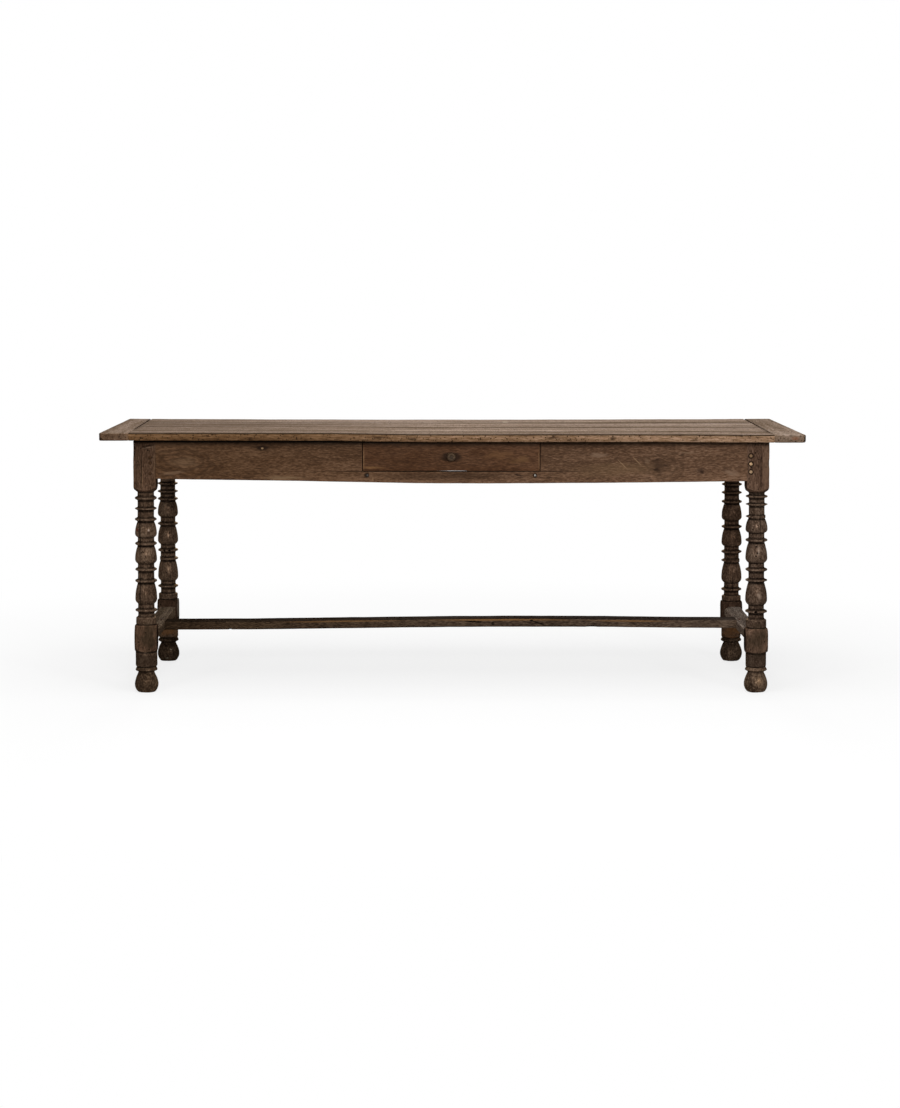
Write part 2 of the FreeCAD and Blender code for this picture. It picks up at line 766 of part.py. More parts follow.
runner_nails = []
for start in nail_starts.values():
    shank = round_bar(start, Vector(0, 1, 0), nail_shank_diameter, nail_length)
    head = Part.makeCone(
        nail_head_diameter / 2, nail_shank_diameter / 2, nail_head_height, start, Vector(0, -1, 0)
    )
    runner_nails.append(shank.fuse(head).removeSplitter())
pieces["runner_nails"] = Part.makeCompound(runner_nails)


# Drawer
def dovetail(side, play):
    """One corner's tails, which flare towards the drawer's face; play makes them sockets."""
    tails = []
    for share in dovetail_height_shares:
        middle = drawer_bottom_edge + drawer_side_height * share
        root = dovetail_root_width / 2 + play
        end = dovetail_end_width / 2 + play
        tip_y = drawer_front_back_y - dovetail_length - play
        x = side * (drawer_inner_x - play)
        corners = [
            Vector(x, drawer_front_back_y, middle - root),
            Vector(x, tip_y, middle - end),
            Vector(x, tip_y, middle + end),
            Vector(x, drawer_front_back_y, middle + root),
        ]
        face = Part.Face(Part.makePolygon(corners + corners[:1]))
        tails.append(face.extrude(Vector(side * (drawer_side_thickness + play), 0, 0)))
    return tails


floor_half = drawer_inner_x + drawer_groove_depth
floor_front = drawer_front_back_y - drawer_groove_depth
floor_top = drawer_floor + drawer_bottom_thickness
groove = block(
    (-floor_half - cheek_play, floor_half + cheek_play),
    (floor_front - cheek_play, drawer_end_y + overrun),
    (drawer_floor - cheek_play, floor_top + cheek_play),
)
back_far = drawer_end_y - drawer_back_inset
back_near = back_far - drawer_back_thickness
back_half = drawer_inner_x + drawer_back_housing
side_top = drawer_bottom_edge + drawer_side_height
back_top = side_top - drawer_back_drop
back_slot = block(
    (-back_half - cheek_play, back_half + cheek_play),
    (back_near - cheek_play, back_far + cheek_play),
    (floor_top - overrun, side_top + overrun),
)
knob_height = drawer_bottom_edge + drawer_front_height / 2
knob_hole = round_bar(
    Vector(0, drawer_face_y, knob_height),
    Vector(0, 1, 0),
    knob_shank_diameter + 2 * peg_play,
    drawer_front_thickness,
)
drawer_board = block(
    (-drawer_half, drawer_half), (drawer_face_y, drawer_front_back_y), (drawer_bottom_edge, drawer_top)
)
sockets = dovetail(-1, peg_play) + dovetail(1, peg_play)
pieces["drawer_front"] = cut_all(drawer_board, sockets + [groove, knob_hole])
for name, side in (("drawer_side_left", -1), ("drawer_side_right", 1)):
    cheek = block(
        (side * drawer_inner_x, side * drawer_half),
        (drawer_front_back_y, drawer_end_y),
        (drawer_bottom_edge, side_top),
    )
    for tail in dovetail(side, 0):
        cheek = cheek.fuse(tail)
    pieces[name] = cut_all(cheek.removeSplitter(), [groove, back_slot])
pieces["drawer_back"] = block((-back_half, back_half), (back_near, back_far), (floor_top, back_top))
pieces["drawer_bottom"] = block(
    (-floor_half, floor_half), (floor_front, drawer_end_y), (drawer_floor, floor_top)
)


def turned_knob():
    """The knob about the Z axis, face up: collar, neck, domed head, and a shank through the front."""
    outline = TurnedOutline(knob_projection)
    face_radius = knob_diameter / 2 * knob_face_share
    widest_height = knob_projection * knob_widest_share
    neck_height = knob_projection * knob_neck_share
    outline.line_to(face_radius, knob_projection)
    outline.swell_to(knob_diameter / 2, widest_height, knob_diameter / 2, widest_height)
    outline.swell_to(knob_neck_diameter / 2, neck_height, knob_diameter / 2, widest_height)
    outline.line_to(knob_collar_diameter / 2, knob_projection * knob_collar_share)
    outline.line_to(knob_collar_diameter / 2, 0)
    outline.line_to(knob_shank_diameter / 2, 0)
    outline.line_to(knob_shank_diameter / 2, -drawer_front_thickness)
    return outline.turned()


knob = turned_knob()
knob.rotate(Vector(0, 0, 0), Vector(1, 0, 0), 90)
knob.translate(Vector(0, drawer_face_y, knob_height))
pieces["drawer_knob"] = knob

# One file for each piece
os.makedirs("parts", exist_ok=True)
for name, shape in pieces.items():
    shape.exportStep("parts/%s.step" % name)
print(len(pieces), "pieces")
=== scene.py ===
# %% [markdown]
# # A refectory table in oak
# This lesson dresses an oak refectory table: a top of four boards between two breadboard ends, hand-turned
# legs, an H of stretchers and one shallow drawer. The joinery is already there as a fixed frame of solids.
# Here each piece that shows gets the worn, uneven shape of old oak, and every surface gets a finish.

# %% Load the frame
import math
import random
from collections import namedtuple

import bmesh
import bpy
import numpy as np
from mathutils import Color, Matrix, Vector


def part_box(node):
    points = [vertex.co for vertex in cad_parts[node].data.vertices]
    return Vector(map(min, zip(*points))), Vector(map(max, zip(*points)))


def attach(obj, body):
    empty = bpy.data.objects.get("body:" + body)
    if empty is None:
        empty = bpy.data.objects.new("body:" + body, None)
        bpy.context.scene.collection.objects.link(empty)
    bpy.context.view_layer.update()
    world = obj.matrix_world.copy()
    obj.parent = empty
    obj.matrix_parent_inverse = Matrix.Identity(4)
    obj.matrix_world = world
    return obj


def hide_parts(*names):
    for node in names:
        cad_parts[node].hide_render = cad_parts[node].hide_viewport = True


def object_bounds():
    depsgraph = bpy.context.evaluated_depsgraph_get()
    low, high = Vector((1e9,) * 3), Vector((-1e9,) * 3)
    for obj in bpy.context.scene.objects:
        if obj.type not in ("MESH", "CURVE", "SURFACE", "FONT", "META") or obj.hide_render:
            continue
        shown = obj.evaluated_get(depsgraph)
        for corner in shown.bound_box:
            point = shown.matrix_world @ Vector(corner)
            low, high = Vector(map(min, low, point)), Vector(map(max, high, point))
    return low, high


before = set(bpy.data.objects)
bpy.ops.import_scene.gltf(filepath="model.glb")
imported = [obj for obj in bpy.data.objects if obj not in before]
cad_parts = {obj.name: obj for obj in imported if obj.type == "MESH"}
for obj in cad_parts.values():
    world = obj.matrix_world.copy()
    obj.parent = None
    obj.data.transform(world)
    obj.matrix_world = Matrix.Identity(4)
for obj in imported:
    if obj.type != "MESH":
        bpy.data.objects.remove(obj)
cad_low, cad_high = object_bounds()
print("frame:", len(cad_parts), "nodes, box", [round(side, 3) for side in cad_high - cad_low])

# %% [markdown]
# ## Camera
# The table was photographed from the front, a little left of its middle, from about seven metres and at
# chest height. A camera could be aimed at the table with a constraint, but then it would tilt down and the
# legs would lean in the picture. Here it looks almost level, and a small lens shift brings the table to
# the middle of the tall frame. A long lens keeps the far legs nearly as large as the near ones.

# %% Camera
PICTURE_HEIGHT = 1108
FOCAL_PIXELS = 2407
SENSOR = 36
CAMERA_PLACE = (-0.0562, -7.4964, 1.2308)
LOOK_DOWN = math.radians(2.5)
LENS_SHIFT = (0.0158, -0.1506)
QUARTER_TURN = math.radians(90)


def stand(name, data, place=(0, 0, 0), turn=(0, 0, 0)):
    """A new object in the scene."""
    made = bpy.data.objects.new(name, data)
    made.location = place
    made.rotation_euler = turn
    bpy.context.scene.collection.objects.link(made)
    return made


view = bpy.data.cameras.new("photographers_view")
view.sensor_width = SENSOR
view.lens = FOCAL_PIXELS / PICTURE_HEIGHT * SENSOR
view.shift_x, view.shift_y = LENS_SHIFT
bpy.context.scene.camera = stand("photographers_view", view, CAMERA_PLACE, (QUARTER_TURN - LOOK_DOWN, 0, 0))
bpy.context.scene.view_settings.view_transform = "Standard"
print("lens of", round(view.lens, 1), "mm")

# %% [markdown]
# ## Nodes in few words
# A finish is a graph of small nodes, and adding each one by hand takes four lines. These helpers add a
# node, set or link its inputs and give back its outputs, so that a finish below reads like a recipe.

# %% Nodes in few words
def feed(tree, node, inputs):
    """Links sockets to a node's inputs and sets other values on them."""
    for name, value in inputs.items():
        if isinstance(value, bpy.types.NodeSocket):
            tree.links.new(value, node.inputs[name])
        else:
            node.inputs[name].default_value = value


def put(tree, kind, inputs=None, **settings):
    """Adds a shader node and gives back its outputs."""
    made = tree.nodes.new("ShaderNode" + kind)
    for name, value in settings.items():
        setattr(made, name, value)
    feed(tree, made, inputs or {})
    return made.outputs


def calc(tree, operation, *values):
    """One step of arithmetic on numbers or sockets."""
    return put(tree, "Math", dict(enumerate(values)), operation=operation)[0]


def between(tree, value, low, high, start=0.0, end=1.0):
    """Runs smoothly from start to end while the value goes from low to high."""
    inputs = dict(enumerate((value, low, high, start, end)))
    return put(tree, "MapRange", inputs, interpolation_type="SMOOTHSTEP")[0]


def mixed(tree, share, first, second, way="MIX"):
    """Two colours blended by a share."""
    return put(tree, "MixRGB", {0: share, 1: first, 2: second}, blend_type=way)[0]


def noise(tree, place, waves, detail, rough=0.5):
    """Soft noise from 0 to 1."""
    return put(tree, "TexNoise", {"Vector": place, "Scale": waves, "Detail": detail, "Roughness": rough})[0]


def far_out(tree, place):
    """How far a place lies from the origin."""
    return put(tree, "VectorMath", {0: place}, operation="LENGTH")["Value"]


def seen_direct(tree):
    """1 for what the camera sees, straight or in gloss or glass, and 0 for light that bounces."""
    path = put(tree, "LightPath")
    glossy = calc(tree, "MAXIMUM", path["Is Glossy Ray"], path["Is Transmission Ray"])
    return calc(tree, "MAXIMUM", path["Is Camera Ray"], glossy)


def new_finish(name):
    """A finish, its graph, and the place on the table that the graph is asked about."""
    finish = bpy.data.materials.new(name)
    finish.use_nodes = True
    return finish, finish.node_tree, put(finish.node_tree, "TexCoord")["Object"]


# %% [markdown]
# ## Floor, backdrop and light
# The table stands on a pale floor that runs into a white backdrop with no edge between them. The white
# could come from stronger lamps, but they would bleach the wood too. So floor and sky are white only to
# rays that reach the camera, straight or by way of gloss or glass. The floor is matt, so that it shows the
# soft shadow under the table, and further out it turns into the backdrop's own white. The light is plain:
# an even white sky, a large soft box in front with a small one on each side of it, one above the top, and
# one behind the table that lights its back.

# %% Floor and backdrop
WHITE = (1, 1, 1, 1)
SKY_LEVEL = 0.26
FLOOR_REACH = 60
FLOOR_WHITE = (0.9, 0.9, 0.9, 1)
FLOOR_BOUNCE = (0.20, 0.19, 0.18, 1)
FADE_SPAN = (1.2, 2.6)
FLOOR_GLOW = 0.78

sky = bpy.data.worlds.new("studio")
sky.use_nodes = True
tree = sky.node_tree
sky_level = between(tree, seen_direct(tree), 0, 1, SKY_LEVEL, 1)
feed(tree, tree.nodes["Background"], {"Color": WHITE, "Strength": sky_level})
bpy.context.scene.world = sky

bpy.ops.object.select_all(action="DESELECT")
bpy.ops.mesh.primitive_plane_add(size=FLOOR_REACH)
floor = bpy.context.object
floor.name = "floor"
paper, tree, floor_place = new_finish("paper_floor")
tree.nodes.remove(tree.nodes["Principled BSDF"])
bounce = mixed(tree, seen_direct(tree), FLOOR_BOUNCE, FLOOR_WHITE)
matt = put(tree, "BsdfDiffuse", {"Color": bounce})[0]
glow = put(tree, "Emission", {"Color": WHITE, "Strength": 1})[0]
white_share = between(tree, far_out(tree, floor_place), *FADE_SPAN, FLOOR_GLOW, 1)
share = calc(tree, "MULTIPLY", white_share, seen_direct(tree))
blend = put(tree, "MixShader", {0: share, 1: matt, 2: glow})[0]
feed(tree, tree.nodes["Material Output"], {"Surface": blend})
floor.data.materials.append(paper)
print("floor of", FLOOR_REACH, "m")

# %% Soft boxes
# place, size in metres, watts
SOFT_BOXES = {
    "soft_box_front": ((0.2, -6.6, 1.9), 1.6, 190),
    "soft_box_left": ((-3.0, -5.2, 1.9), 0.7, 45),
    "soft_box_right": ((3.2, -5.2, 1.9), 0.7, 70),
    "soft_box_above": ((-0.1, -1.2, 4.4), 3.0, 122),
    "soft_box_back": ((-0.2, 6.2, 2.2), 2.0, 140),
}
AIM = Vector((0, 0, 0.45))

for name, (place, size, watts) in SOFT_BOXES.items():
    lamp = bpy.data.lights.new(name, "AREA")
    lamp.size = size
    lamp.energy = watts
    stand(name, lamp, place, (AIM - Vector(place)).to_track_quat("-Z", "Y").to_euler())
print(len(SOFT_BOXES), "soft boxes")

# %% [markdown]
# ## Old oak
# Oak is a brown ground with slow changes of tone, blotches, short flecks and fibres, all drawn out along
# the tree. The finish could be a picture wrapped round each piece, but a picture stretches and shows a
# seam at every edge. Here it is built in space instead: four layers of noise, each longer along the grain
# than across it, so that face, edge and end show the same tree. The boards of the top have the longest
# grain. Turned pieces have the shortest, because the lathe cuts through it.

# %% Grain in space
TO_GRAIN = {"x": (0, 0, 0), "y": (0, 0, -QUARTER_TURN), "z": (0, QUARTER_TURN, 0)}
LAYERS = ("broad", "mottle", "fleck", "fibre")
# for each layer: waves per metre along the grain, across it, detail, share of the tone
PLANK_LAYERS = ((1.6, 7, 3, 0.24), (10, 44, 3, 0.10), (36, 270, 2, 0.24), (90, 520, 2, 0.42))
TOP_LAYERS = ((0.9, 10, 3, 0.26), (5, 60, 3, 0.14), (18, 300, 2, 0.24), (60, 620, 2, 0.36))
TURNED_LAYERS = ((6, 12, 3, 0.26), (60, 90, 4, 0.20), (140, 230, 2, 0.32), (150, 430, 2, 0.22))
NOISE_ROUGH = 0.58
TONE_RANGE = (0.37, 0.63)


def drawn_out(tree, grain, along, across, detail):
    """Noise with so many waves per metre along and across the grain."""
    inputs = {0: grain, 1: (along, across, across)}
    return noise(tree, put(tree, "VectorMath", inputs, operation="MULTIPLY")[0], 1, detail, NOISE_ROUGH)


def figure(tree, grain, layers):
    """The layers of noise by name, and the tone from 0 to 1 that they sum to."""
    noises = {}
    tone = 0.0
    for name, (along, across, detail, share) in zip(LAYERS, layers):
        noises[name] = drawn_out(tree, grain, along, across, detail)
        tone = calc(tree, "MULTIPLY_ADD", noises[name], share, tone)
    return noises, between(tree, tone, *TONE_RANGE)


# %% [markdown]
# ## Tones, marks and age
# Every piece of the table has its own brown. A tone set names five of them: three for the wood itself, a
# pale one for handled edges and a near black one for the dirt in hollows. Single marks, such as a knot or
# a scratch, sit at one place on one piece. They could be painted on an unwrapped mesh. Here each is an
# oval in space with a ragged rim that mixes another colour in: it needs no unwrapping, runs on round a
# corner, and moves when one number changes.

# %% Tones
BYTE = 255
TONE_NAMES = ("dark", "middle", "pale", "worn", "grime")


def colour(*parts):
    """A colour as a picture program writes it, in the linear light that a shader takes."""
    return (*Color([part / BYTE for part in parts]).from_srgb_to_scene_linear(), 1)


def tones(*colours):
    """A tone set from five colours."""
    return {name: colour(*parts) for name, parts in zip(TONE_NAMES, colours)}


def deeper(tone_set, level):
    """The same tones, lighter or darker by one level, or by one each for red, green and blue."""
    levels = level if isinstance(level, tuple) else (level, level, level)
    return {name: (*[part * by for part, by in zip(shade, levels)], 1) for name, shade in tone_set.items()}


TOP_TONES = tones((74, 52, 32), (97, 71, 46), (124, 95, 68), (142, 108, 76), (26, 17, 10))
APRON_TONES = tones((60, 41, 28), (85, 61, 43), (110, 83, 63), (124, 96, 73), (22, 14, 9))
LEG_TONES = tones((42, 31, 23), (68, 53, 42), (96, 79, 65), (118, 98, 82), (9, 6, 4))
BLOCK_TONES = tones((53, 37, 28), (75, 56, 43), (99, 77, 62), (114, 90, 73), (14, 9, 6))
FOOT_TONES = tones((30, 21, 15), (56, 43, 32), (92, 75, 60), (106, 87, 70), (8, 6, 4))
STRETCHER_TONES = tones((40, 30, 22), (65, 51, 40), (92, 75, 59), (112, 89, 66), (12, 8, 6))
DRAWER_TONES = tones((56, 34, 21), (74, 48, 30), (93, 63, 43), (126, 94, 68), (18, 10, 6))
LINING_TONES = tones((92, 70, 48), (126, 100, 72), (152, 126, 96), (160, 132, 100), (48, 34, 22))
print("tone sets of", TONE_NAMES)

# %% Marks
RIM_WAVES = 1.6
RIM_DETAIL = 3
RIM_SHIFT = 43.0
MM = 0.001
MARK_DEPTH = 20


def mm(*lengths):
    """Lengths that are written in millimetres, in metres."""
    return tuple(length * MM for length in lengths)


def oval(tree, place, centre, radii, turn=0.0):
    """A place seen from the middle of a turned oval, and how far out it lies, with the rim at 1."""
    inputs = {"Vector": place, "Location": centre, "Rotation": (0, math.radians(turn), 0), "Scale": radii}
    seen = put(tree, "Mapping", inputs, vector_type="TEXTURE")[0]
    return seen, far_out(tree, seen)


def spot(tree, place, centre, radii, turn=0.0, soft=0.5, ragged=0.3):
    """1 inside a turned oval and 0 outside it, with a ragged soft rim."""
    seen, out = oval(tree, place, centre, radii, turn)
    shift = [RIM_SHIFT * part for part in centre]
    moved = put(tree, "VectorMath", {0: seen, 1: shift}, operation="ADD")[0]
    rim = calc(tree, "SUBTRACT", noise(tree, moved, RIM_WAVES, RIM_DETAIL), 0.5)
    return between(tree, calc(tree, "MULTIPLY_ADD", rim, 2 * ragged, out), 1 - soft, 1, 1, 0)


def marked(tree, place, shade, marks):
    """The shade with single marks on it. A mark is one row: tint, strength, place (x, y, z) and radii in
    millimetres, then its turn in degrees, how soft its rim is and how ragged."""
    for tint, strength, x, y, z, wide, deep, high, *rim in marks:
        share = spot(tree, place, mm(x, y, z), mm(wide, deep, high), *rim)
        shade = mixed(tree, calc(tree, "MULTIPLY", share, strength), shade, colour(*tint))
    return shade


def on_face(y, rows):
    """Marks on an upright face, from rows without y and without a depth."""
    return [(tint, strength, x, y, z, wide, MARK_DEPTH, high, *rim)
            for tint, strength, x, z, wide, high, *rim in rows]


def swirled(tree, place, shade, swirls):
    """The shade with oval growth rings. A swirl: tint, strength, rings, place and radii."""
    for tint, strength, rings, centre, radii in swirls:
        seen, out = oval(tree, place, mm(*centre), mm(*radii))
        bent = calc(tree, "ADD", out, noise(tree, seen, RIM_WAVES, RIM_DETAIL))
        wave = calc(tree, "SINE", calc(tree, "MULTIPLY", bent, 2 * math.pi * rings))
        fade = between(tree, out, 0.5, 1, 1, 0)
        share = calc(tree, "MULTIPLY", between(tree, wave, -1, 1, 0, strength), fade)
        shade = mixed(tree, share, shade, colour(*tint))
    return shade


# %% [markdown]
# ## The finish
# The tone picks a colour from a ramp. On top of that comes a painted side light, darker at the left end of
# the table and lighter and greyer at the right, and the things that happen to a table: upper faces have gone
# grey, partly as a painted sheen, pores have filled with dirt, arrises have been rubbed pale and hollows
# have kept their grime. Blender's Pointiness could find rubbed and hollow places, but it changes with the
# size of the faces. They are read from two attributes instead, which each piece carries on its vertices, so
# that paint and shape always agree.

# %% Ageing
TABLE_SPAN = (-0.95, 0.95)
# painted side light: the left end of the table darker, the right end lighter and greyer
PAINTED_SIDE_LIGHT = (TABLE_SPAN, (0.82, 0.78, 0.70, 1), (1.44, 1.52, 1.68, 1))
UPWARD = (0.35, 0.9)
PIT_RIM = (0.12, 0.32)
ROT_WAVES = 1.5
ROT_DETAIL = 2
ROT_RANGE = (0.58, 0.70)
STREAK_WAVES = (0.8, 34.0, 4)
STREAK_RANGE = (0.38, 0.62)
DARK_STREAK = (0.66, 0.64, 0.61, 1)
PALE_STREAK = (1.24, 1.25, 1.27, 1)
WEAR_PATCHES = (0.38, 0.58)
WEAR_LEAST = 0.3


def pitted(tree, place, shade, dirt, cells_per_metre, share, rot_strength):
    """The shade with small dark pits, in a share of all cells, and rotten specks."""
    cells = put(tree, "TexVoronoi", {"Vector": place, "Scale": cells_per_metre})
    near = between(tree, cells["Distance"], *PIT_RIM, 1, 0)
    chance = put(tree, "SeparateColor", {0: cells["Color"]})[0]
    holes = calc(tree, "MULTIPLY", near, calc(tree, "LESS_THAN", chance, share))
    rot = noise(tree, place, ROT_WAVES * cells_per_metre, ROT_DETAIL)
    rotten = between(tree, rot, *ROT_RANGE, 0, rot_strength)
    return mixed(tree, calc(tree, "MAXIMUM", holes, rotten), shade, dirt)


def streaked(tree, grain, shade, strength):
    """The shade with long streaks, where years of cleaning have followed the grain."""
    streak = between(tree, drawn_out(tree, grain, *STREAK_WAVES), *STREAK_RANGE)
    return mixed(tree, strength, shade, mixed(tree, streak, DARK_STREAK, PALE_STREAK), "MULTIPLY")


def with_painted_side_light(tree, place, shade, span, dim_end, lit_end):
    """Painted side light: darker towards the dim end of the table, lighter and greyer towards the lit end.
    """
    along = put(tree, "SeparateXYZ", {0: place})["X"]
    return mixed(tree, 1.0, shade, mixed(tree, between(tree, along, *span), dim_end, lit_end), "MULTIPLY")


def upper_faces(tree, sides, above):
    """One shade on sides and lower faces, another on the faces that look up."""
    upward = put(tree, "SeparateXYZ", {0: put(tree, "NewGeometry")["Normal"]})["Z"]
    return mixed(tree, between(tree, upward, *UPWARD), sides, above)


def handled(tree, shade, tone_set, patches):
    """Rubbed arrises, in patches, and dirty hollows, from the piece's own attributes; on the legs the grime
    also holds painted shade under rings and squares.
    """
    wear = put(tree, "Attribute", attribute_name="wear")["Fac"]
    rubbed = calc(tree, "MULTIPLY", wear, between(tree, patches, *WEAR_PATCHES, WEAR_LEAST, 1))
    shade = mixed(tree, rubbed, shade, tone_set["worn"])
    return mixed(tree, put(tree, "Attribute", attribute_name="grime")["Fac"], shade, tone_set["grime"])


# %% Oak
RAMP_ENDS = (0.06, 0.94)
PORE_WAVES = (40.0, 640.0, 1)
PORE_RANGE = (0.60, 0.70)
PORE_STRENGTH = 0.4
BUMP_STRENGTH = 0.3
BUMP_DEPTH = 0.0006
ROUGH_SPREAD = 0.08
WAX_TINT = (0.72, 0.60, 0.48, 1)
MATT = {"gloss": 0.0, "rough": 0.66}
POLISHED = {"gloss": 0.0, "rough": 0.26}
UNFINISHED = {"gloss": 0.04, "rough": 0.7}


def oak(name, along, tone_set, layers=PLANK_LAYERS, shift=0.0, gloss=0.06, wax=0.0, rough=0.55, side_light=PAINTED_SIDE_LIGHT,
        grey_and_sheen=None, streaks=1.0, side_light_above=PAINTED_SIDE_LIGHT, swirls=(), pits=None, marks=()):
    """Old oak with its grain along one axis."""
    finish, tree, place = new_finish(name)
    turn = {"Vector": place, "Rotation": TO_GRAIN[along], "Location": (shift, shift, shift)}
    grain = put(tree, "Mapping", turn)[0]
    noises, tone = figure(tree, grain, layers)
    wood = put(tree, "ValToRGB", {"Fac": tone})[0]
    stops = wood.node.color_ramp.elements
    stops[0].position, stops[1].position = RAMP_ENDS
    stops[0].color, stops[1].color = tone_set["dark"], tone_set["pale"]
    stops.new(0.5).color = tone_set["middle"]
    shade = with_painted_side_light(tree, place, wood, *side_light)
    # upper faces greyed by scrubbing and dust, partly as a painted sheen
    if grey_and_sheen:
        grey = streaked(tree, grain, mixed(tree, 1.0, wood, grey_and_sheen, "MULTIPLY"), streaks)
        shade = upper_faces(tree, shade, with_painted_side_light(tree, place, grey, *side_light_above))
    shade = swirled(tree, place, shade, swirls)
    pore = between(tree, drawn_out(tree, grain, *PORE_WAVES), *PORE_RANGE)
    shade = mixed(tree, calc(tree, "MULTIPLY", pore, PORE_STRENGTH), shade, tone_set["grime"])
    if pits:
        shade = pitted(tree, place, shade, tone_set["grime"], *pits)
    shade = marked(tree, place, handled(tree, shade, tone_set, noises["mottle"]), marks)
    patches = between(tree, noises["mottle"], *WEAR_PATCHES, rough + ROUGH_SPREAD, rough - ROUGH_SPREAD)
    relief = calc(tree, "SUBTRACT", noises["fleck"], pore)
    bump = put(tree, "Bump", {"Height": relief, "Strength": BUMP_STRENGTH, "Distance": BUMP_DEPTH})[0]
    feed(tree, tree.nodes["Principled BSDF"], {
        "Base Color": shade, "Roughness": patches, "Normal": bump, "Metallic": wax,
        "Specular IOR Level": gloss, "Specular Tint": WAX_TINT,
    })
    print("finish", name, "with", len(marks), "marks")
    return finish


# %% [markdown]
# ## Ways of working
# The flat pieces all start as a cube of the right size. It is shaped in edit mode, its edges are eased
# with a bevel, and it is cut into short stretches so that it can bend and wear. The turned pieces start as
# one point, which is extruded along an outline and spun. A mesh could also be written down vertex by
# vertex, but these are the tools of edit mode, so each step can be tried out by hand. They repeat from
# piece to piece, so each has a short helper.

# %% Working in edit mode
KINDS = {"verts": "VERT", "edges": "EDGE", "faces": "FACE"}
NEAR = 1e-5
ALONG_SHARE = 0.97
REAL_ANGLE = math.radians(30)


def nothing_selected():
    """Leaves edit mode and drops every selection."""
    if bpy.context.object and bpy.context.object.mode == "EDIT":
        bpy.ops.object.mode_set(mode="OBJECT")
    bpy.ops.object.select_all(action="DESELECT")


def take(piece):
    """Makes a piece the only one selected."""
    nothing_selected()
    bpy.context.view_layer.objects.active = piece
    piece.select_set(True)


def at_work(piece):
    """Takes a piece into edit mode, with all of it selected."""
    take(piece)
    bpy.ops.object.mode_set(mode="EDIT")
    bpy.ops.mesh.select_all(action="SELECT")


def pick(piece, kind, wanted):
    """Selects only the verts, edges or faces that are wanted."""
    bpy.ops.mesh.select_mode(type=KINDS[kind])
    bpy.ops.mesh.select_all(action="DESELECT")
    shape = bmesh.from_edit_mesh(piece.data)
    for item in getattr(shape, kind):
        item.select_set(bool(wanted(item)))
    shape.select_flush_mode()
    bmesh.update_edit_mesh(piece.data)


def middle(item):
    """The middle of an edge or face."""
    return sum((corner.co for corner in item.verts), Vector()) / len(item.verts)


def runs(edge, axis):
    """Whether an edge runs along an axis."""
    way = edge.verts[1].co - edge.verts[0].co
    return abs(way[axis]) > ALONG_SHARE * way.length


def extrude(move):
    """Pulls what is selected out of the piece, or on along an outline."""
    bpy.ops.mesh.extrude_region_move(TRANSFORM_OT_translate={"value": move})


# %% Flat pieces
LEAST_CUT = 2.5


def blank(node, low, high):
    """A cube cut to the size of a box, ready to be worked on."""
    nothing_selected()
    low, high = Vector(low), Vector(high)
    bpy.ops.mesh.primitive_cube_add(size=1, location=(low + high) / 2, scale=high - low)
    piece = bpy.context.object
    piece.name = piece.data.name = f"{node}_worn"
    bpy.ops.object.transform_apply()
    at_work(piece)
    return piece


def nudge(piece, wanted, move):
    """Moves the corners that are wanted."""
    pick(piece, "verts", lambda corner: wanted(corner.co))
    bpy.ops.transform.translate(value=move)


def ease(piece, arris, wanted=lambda edge: True):
    """Rounds the wanted edges where faces meet at a real angle. An arris: its radius and its steps."""
    pick(piece, "edges", lambda edge: edge.calc_face_angle(0) > REAL_ANGLE and wanted(edge))
    bpy.ops.mesh.bevel(offset=arris[0], segments=arris[1], affect="EDGES")


def cut_up(piece, steps):
    """Cuts the piece across each axis into stretches about one step long."""
    for axis, step in steps.items():
        shape = bmesh.from_edit_mesh(piece.data)
        longest = max(edge.calc_length() for edge in shape.edges if runs(edge, axis))
        pick(piece, "edges", lambda edge: runs(edge, axis) and edge.calc_length() > LEAST_CUT * step)
        bpy.ops.mesh.subdivide(number_cuts=max(1, round(longest / step) - 1))


def plank(node, low, high, arris, steps, wanted=lambda edge: True):
    """A blank with eased edges, cut into short stretches."""
    piece = blank(node, low, high)
    ease(piece, arris, wanted)
    cut_up(piece, steps)
    return piece


# %% Turned pieces
TURNING_STEPS = 64


def change(piece, kind, **settings):
    """Adds a modifier to a piece, sets it and applies it."""
    take(piece)
    made = piece.modifiers.new(kind, kind)
    for name, value in settings.items():
        setattr(made, name, value)
    bpy.ops.object.modifier_apply(modifier=made.name)


def turning(name, outline, centre, outward, axis):
    """Spins an outline of points, their radii and heights in millimetres, about an axis."""
    nothing_selected()
    bpy.ops.mesh.primitive_plane_add(size=1)
    piece = bpy.context.object
    piece.name = piece.data.name = name
    at_work(piece)
    bpy.ops.mesh.select_mode(type="VERT")
    bpy.ops.mesh.merge(type="CENTER")
    centre, outward, axis = Vector(centre), Vector(outward), Vector(axis)
    points = [centre + outward * (radius * MM) + axis * (height * MM) for radius, height in outline]
    bpy.ops.transform.translate(value=points[0])
    for start, end in zip(points, points[1:]):
        extrude(end - start)
    bpy.ops.mesh.select_all(action="SELECT")
    bpy.ops.mesh.spin(steps=TURNING_STEPS, angle=2 * math.pi, center=centre, axis=axis)
    bpy.ops.mesh.select_all(action="SELECT")
    bpy.ops.mesh.remove_doubles(threshold=NEAR)
    bpy.ops.mesh.normals_make_consistent(inside=False)
    change(piece, "SUBSURF", levels=1, render_levels=1)
    return piece


def cad_copy(node):
    """A copy of one of the frame's solids, with its doubled corners merged."""
    piece = stand(f"{node}_worn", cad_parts[node].data.copy())
    at_work(piece)
    bpy.ops.mesh.remove_doubles(threshold=NEAR)
    return piece


# %% [markdown]
# ## Wear
# Old wood is never flat. It could be sculpted by hand, but then no number could change it. So a Displace
# modifier with soft cloud noise takes the machine flatness away, and bites are cut with a Boolean
# modifier, from lumps that are thrown away afterwards. The finish needs to know where a piece stands out
# and where it lies hollow, so each vertex is compared with the middle of its neighbours and the answer is
# kept on it.

# %% Weather and bites
CLOUD_DEPTH = 2


